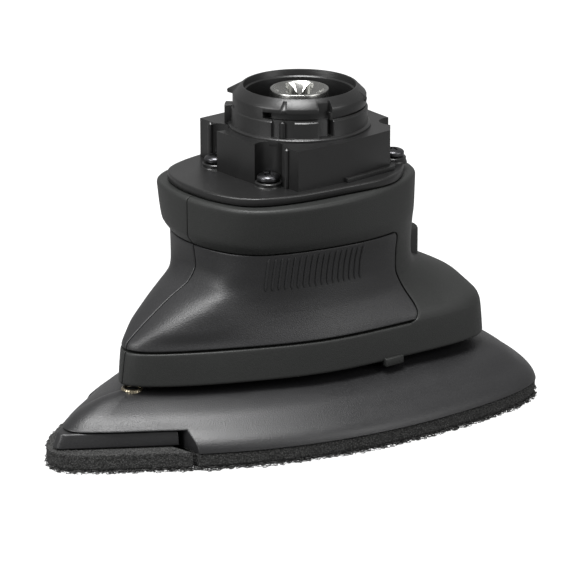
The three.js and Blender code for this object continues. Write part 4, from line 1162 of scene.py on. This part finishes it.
def loops(name, centres, turns, lean, radius, flat_z):
    """Small bent threads: each a loop in an upright plane, leaned over and with a random opening."""
    steps, sides = 7, 3
    count = len(centres)
    t = np.linspace(-0.35, math.pi + 0.35, steps)
    wobble = rng.normal(0, 0.10, (count, steps, 3))
    along_x = np.cos(t)[None, :] * radius[:, None]
    up = np.sin(t)[None, :] * radius[:, None] * rng.uniform(0.7, 1.25, (count, 1))
    direction = np.stack([np.cos(turns), np.sin(turns)], 1)
    across = np.stack([-np.sin(turns), np.cos(turns)], 1)
    drift = np.sin(lean)[:, None] * up
    height = np.cos(lean)[:, None] * up
    path = np.zeros((count, steps, 3))
    for axis in (0, 1):
        path[:, :, axis] = (centres[:, axis, None] + direction[:, axis, None] * along_x
                            + across[:, axis, None] * drift)
    path[:, :, 2] = centres[:, 2, None] + flat_z * height
    path += wobble * radius[:, None, None]
    tangent = np.gradient(path, axis=1)
    tangent /= np.linalg.norm(tangent, axis=2)[:, :, None] + 1e-9
    first = np.cross(tangent, np.array([0.3, 0.2, 0.93]))
    first /= np.linalg.norm(first, axis=2)[:, :, None] + 1e-9
    second = np.cross(tangent, first)
    thick = 0.085 * rng.uniform(0.8, 1.3, (count, 1, 1))
    rows = []
    for s in range(sides):
        angle = 2 * math.pi * s / sides
        rows.append(path + (first * math.cos(angle) + second * math.sin(angle)) * thick)
    verts = np.stack(rows, 2)
    verts[:, :, :, 2] = np.clip(verts[:, :, :, 2], 0.0, None)
    base = np.arange(count)[:, None, None] * steps * sides
    k, s = np.meshgrid(np.arange(steps - 1), np.arange(sides), indexing="ij")
    a = k * sides + s
    b = k * sides + (s + 1) % sides
    quads = np.stack([a, b, b + sides, a + sides], -1).reshape(-1, 4)
    faces = (base + quads[None]).reshape(-1, 4)
    mesh = bpy.data.meshes.new(name)
    flat = (verts.reshape(-1, 3) * MM).astype(np.float32)
    mesh.vertices.add(len(flat))
    mesh.vertices.foreach_set("co", flat.ravel())
    mesh.loops.add(faces.size)
    mesh.loops.foreach_set("vertex_index", faces.astype(np.int32).ravel())
    mesh.polygons.add(len(faces))
    mesh.polygons.foreach_set("loop_start", np.arange(0, faces.size, 4, dtype=np.int32))
    mesh.polygons.foreach_set("use_smooth", np.ones(len(faces), dtype=bool))
    mesh.update(calc_edges=True)
    return linked(name, mesh)


def inside_outline(points, ring):
    """Whether each point lies inside a closed outline."""
    x, y = points[:, 0][:, None], points[:, 1][:, None]
    x0, y0 = ring[:, 0][None], ring[:, 1][None]
    x1, y1 = np.roll(ring[:, 0], -1)[None], np.roll(ring[:, 1], -1)[None]
    crosses = (y0 > y) != (y1 > y)
    with np.errstate(divide="ignore", invalid="ignore"):
        at = x0 + (y - y0) / (y1 - y0) * (x1 - x0)
    return (np.sum(crosses & (x < at), axis=1) % 2) == 1


def facing(name, x0, x1, fringe, field_pitch):
    """Woven backing with a curly fringe round its edge and loops over its underside."""
    ring = zone_outline(x0, x1, 0.6)
    normal = outward(ring)
    rows = []
    for z, inset in ((0.45, 0.9), (0.5, 0.65), (0.75, 0.5), (1.1, 0.5), (1.3, 0.6)):
        wave = 0.08 * rough(at_height(ring, z), 1.4, 3)
        rows.append(at_height(ring + normal * (wave - inset)[:, None], z))
    backing = painted(loft(name, rows, 50), BACKING)
    # fringe: several rows of loops that lean outward
    fringe_count = int(len(ring) * 0.6 * fringe)
    at = rng.uniform(0, len(ring), fringe_count)
    k = at.astype(int) % len(ring)
    share = (at - np.floor(at))[:, None]
    point = ring[k] * (1 - share) + ring[(k + 1) % len(ring)] * share
    out = normal[k]
    inset = rng.uniform(-0.1, 1.4, fringe_count)
    centres = np.column_stack([point - out * inset[:, None], rng.uniform(0.25, 1.25, fringe_count)])
    radius = rng.uniform(0.32, 0.62, fringe_count)
    heading = np.arctan2(out[:, 1], out[:, 0])
    turns = heading + math.pi / 2 + rng.normal(0, 0.7, fringe_count)
    lean = rng.normal(-1.35, 0.5, fringe_count)
    curls = loops(name + "_fringe", centres, turns, lean, radius, -0.35)
    # field: loops over the underside
    low, high = ring.min(0), ring.max(0)
    gx, gy = np.meshgrid(np.arange(low[0], high[0], field_pitch), np.arange(low[1], high[1], field_pitch))
    grid = np.column_stack([gx.ravel(), gy.ravel()]) + rng.uniform(-0.4, 0.4, (gx.size, 2)) * field_pitch
    grid = grid[inside_outline(grid, ring)]
    grid = grid[np.hypot(grid[:, 0] - TIP_SCREW_X, grid[:, 1]) > 4.2]
    centres = np.column_stack([grid, np.full(len(grid), 0.6)])
    count = len(grid)
    field = loops(name + "_loops", centres, rng.uniform(0, 2 * math.pi, count), rng.normal(0, 0.5, count),
                  rng.uniform(0.34, 0.52, count), -1.0)
    return backing, painted(joined(name + "_fibres", [curls, field]), LOOPS)


def tip_crust():
    """Dark curls that stand up from the tip pad where it shows beyond the tip block."""
    ring = zone_outline(-90, TIP_SPLIT_X - 1.2, 0.5)
    normal = outward(ring)
    keep = ring[:, 0] < TIP_SPLIT_X - 2.5
    ring, normal = ring[keep], normal[keep]
    count = 1300
    k = rng.integers(0, len(ring), count)
    inset = rng.uniform(0.3, 3.0, count)
    top = span("tip_pad")[1][2]
    centres = np.column_stack([ring[k] - normal[k] * inset[:, None],
                               rng.uniform(top - 0.5, top - 0.15, count)])
    beyond = ~inside_outline(centres[:, :2], np.array([(-75.2, 0), (-74.4, -1.8), (TIP_SPLIT_X, -17.4),
                                                       (TIP_SPLIT_X, 17.4), (-74.4, 1.8)], float))
    centres = centres[beyond]
    count = len(centres)
    return painted(loops("tip_crust", centres, rng.uniform(0, 6.28, count), rng.normal(0, 0.9, count),
                         rng.uniform(0.25, 0.5, count), 0.8), LOOPS)


# ------------------------------------------------------------------ the pieces, placed
def place(obj, body, slot, *nodes):
    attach(obj, body)
    if nodes:
        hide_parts(*nodes)
    return obj


def screw_spot(node, axis):
    low, high = span(node)
    middle = (low + high) / 2
    middle[axis] = high[axis]
    return middle


def side_screws():
    """Clamshell screws, with the wells that their heads sit in."""
    wells, screws = [], []
    for k in (1, 2, 3):
        x, y, z = screw_spot(f"clamshell_screw_{k}", 1)
        seat = y - HEAD_RISE
        tool = lathe("well", [(0, 0), (3.1, 0), (3.1, 30), (0, 30)], 48)
        turned(tool, -90, "X")
        wells.append(moved(tool, x, seat - 0.05, z))
        screw = cross_screw(f"side_screw_{k}", 0, 0, 0, 30 * k + 10)
        turned(screw, -90, "X")
        screws.append(painted(moved(screw, x, seat, z), DARK_STEEL))
    return wells, screws


wells, clamshell_screws = side_screws()
for side, word in ((1, "left"), (-1, "right")):
    half = housing_half(side)
    if side > 0:
        half = boolean(half, wells)
        half = bevelled(half, 0.12, 2, angle=60)
    parts = [half, rear_spine(side)]
    if side < 0:
        parts.append(skirt_tab())
    half = painted(joined("half_" + word, parts), SHELL)
    place(half, "housing", "shell", "housing_" + word)
    ribs = [rib(side, RIB_FIRST_X + k * RIB_PITCH) for k in range(RIB_COUNT)]
    panel = joined("panel_" + word, [grip_panel(side), *ribs])
    place(painted(panel, GRIP), "housing", "grip", "grip_" + word)

for k, screw in enumerate(clamshell_screws, 1):
    place(screw, "housing", "black_steel", f"clamshell_screw_{k}")

head = joined("adapter_body", [flange(), *key_block(), *collar(), cup_floor()])
place(painted(head, ADAPTER), "housing", "adapter", "adapter")
for k, (x, y) in enumerate(ADAPTER_SCREWS, 1):
    low, high = span(f"adapter_screw_{k}")
    screw = cross_screw(f"flange_screw_{k}", x, y, high[2] - HEAD_RISE, 25 + 40 * k)
    place(painted(screw, DARK_STEEL), "housing", "black_steel", f"adapter_screw_{k}")

socket = drive_socket()
socket.name = "socket"
place(painted(socket, BRIGHT_STEEL), "drive", "bright_steel", "drive_socket")

base = platen()
place(painted(base, PLATEN), "platen", "platen_plastic", "platen")
insert = tip_insert()
insert.name = "insert"
place(painted(insert, BRASS), "platen", "brass", "tip_insert")

main_foam = painted(foam_body("main_foam", TIP_SPLIT_X + 0.6, 90, FOAM_BOTTOM, FOAM_TOP, 5), FOAM)
place(main_foam, "platen", "foam", "main_pad")
backing, fibres = facing("main_facing", TIP_SPLIT_X + 0.6, 90, 9, 1.35)
place(backing, "platen", "hook_fabric", "main_hook_sheet")
place(fibres, "platen", "hook_fabric", "main_hook_sheet")

wedge_block = boolean(tip_block(), [well(TIP_BLOCK_BOTTOM - 1, TIP_BLOCK_TOP + 1, 1.6)])
place(painted(wedge_block, PLATEN), "tip", "platen_plastic", "tip_block")
tip_foam = foam_body("tip_foam", -90, TIP_SPLIT_X, FOAM_BOTTOM, span("tip_pad")[1][2], 31)
tip_foam = boolean(tip_foam, [well(-1, 9, SCREW_WELL_R)])
place(painted(tip_foam, FOAM), "tip", "foam", "tip_pad")
backing, fibres = facing("tip_facing", -90, TIP_SPLIT_X, 9, 1.35)
backing = boolean(backing, [well(-1, 3, SCREW_WELL_R)])
place(backing, "tip", "hook_fabric", "tip_hook_sheet")
place(fibres, "tip", "hook_fabric", "tip_hook_sheet")
place(tip_crust(), "tip", "hook_fabric", "tip_pad")

low, high = span("tip_screw")
tip_bolt = cross_screw("tip_bolt", 0, 0, 0, 45)
turned_to(tip_bolt, Matrix.Rotation(math.pi, 4, "X"))
moved(tip_bolt, TIP_SCREW_X, 0, low[2] + HEAD_RISE)
place(painted(tip_bolt, BRIGHT_STEEL), "tip_screw", "bright_steel", "tip_screw")

# CAD nodes that stay, in better materials
RACES = [f"{bearing}_bearing_{piece}" for bearing in ("upper", "lower", "platen")
         for piece in ("outer_race", "inner_race", "balls_and_cage")]
KEPT = [
    (RACE_STEEL, [*RACES, "upper_bearing_circlip", "platen_snap_ring", "spindle", "platen_retaining_washer",
                  "platen_retaining_screw"]),
    (CAST, ["bearing_carrier", "eccentric_counterweight"]),
    (RUBBER, [f"support_leg_{k}" for k in (1, 2, 3, 4)]),
]
for material, nodes in KEPT:
    for node in nodes:
        obj = frame["nodes"][node]
        for place_of in obj.material_slots:
            place_of.material = material
        step = obj.modifiers.new("edge", "BEVEL")
        step.width = 0.18 * MM
        step.segments = 2
        step.limit_method = "ANGLE"
        step.angle_limit = math.radians(40)


# ------------------------------------------------------------------ floor, light and background
AMBIENT = 0.42
FLOOR_GLOW = 0.2


def plain(name, colour, rough):
    material = bpy.data.materials.new(name)
    material.use_nodes = True
    shader = material.node_tree.nodes["Principled BSDF"]
    shader.inputs["Base Color"].default_value = (*colour, 1)
    shader.inputs["Roughness"].default_value = rough
    shader.inputs["Specular IOR Level"].default_value = 0.1
    shader.inputs["Emission Color"].default_value = (1, 1, 1, 1)
    return material


FLOOR_HALF = 6.0  # metres
FLOOR_DROP = 0.00005


def stage_floor():
    mesh = bpy.data.meshes.new("floor")
    corners = [(FLOOR_HALF * x, FLOOR_HALF * y, -FLOOR_DROP) for x, y in ((-1, -1), (1, -1), (1, 1), (-1, 1))]
    mesh.from_pydata(corners, [], [(0, 1, 2, 3)])
    floor = linked("floor", mesh)
    material = plain("floor", (0.12, 0.12, 0.12), 0.8)
    shader = material.node_tree.nodes["Principled BSDF"]
    seen_white(material.node_tree, shader.inputs["Emission Strength"], FLOOR_GLOW)
    mesh.materials.append(material)


def area_light(name, azimuth, elevation, distance, size, power):
    direction = direction_to(azimuth, elevation)
    data = bpy.data.lights.new(name, "AREA")
    data.shape = "RECTANGLE"
    data.size = data.size_y = size
    data.energy = power
    lamp = linked(name, data)
    lamp.location = direction * distance + Vector((0, 0, 0.04))
    lamp.rotation_mode = "QUATERNION"
    lamp.rotation_quaternion = (-direction).to_track_quat("-Z", "Y")


def seen_white(tree, glow, brightness):
    """Makes an emission white where it is looked at directly and dimmer where it lights the object."""
    path = tree.nodes.new("ShaderNodeLightPath")
    span_of = tree.nodes.new("ShaderNodeMapRange")
    span_of.inputs["To Min"].default_value = brightness
    span_of.inputs["To Max"].default_value = 1.0
    tree.links.new(path.outputs["Is Camera Ray"], span_of.inputs["Value"])
    tree.links.new(span_of.outputs["Result"], glow)


def world():
    setting = bpy.data.worlds.new("studio")
    setting.use_nodes = True
    background = setting.node_tree.nodes["Background"]
    background.inputs["Color"].default_value = (1, 1, 1, 1)
    seen_white(setting.node_tree, background.inputs["Strength"], AMBIENT)
    bpy.context.scene.world = setting
    bpy.context.scene.view_settings.view_transform = "Standard"
    bpy.context.scene.view_settings.look = "None"


stage_floor()
area_light("top", -60, 78, 0.8, 0.4, 13.0)
area_light("key", -95, 30, 0.9, 0.4, 6.0)
area_light("fill", 20, 25, 0.9, 0.5, 3.0)
world()
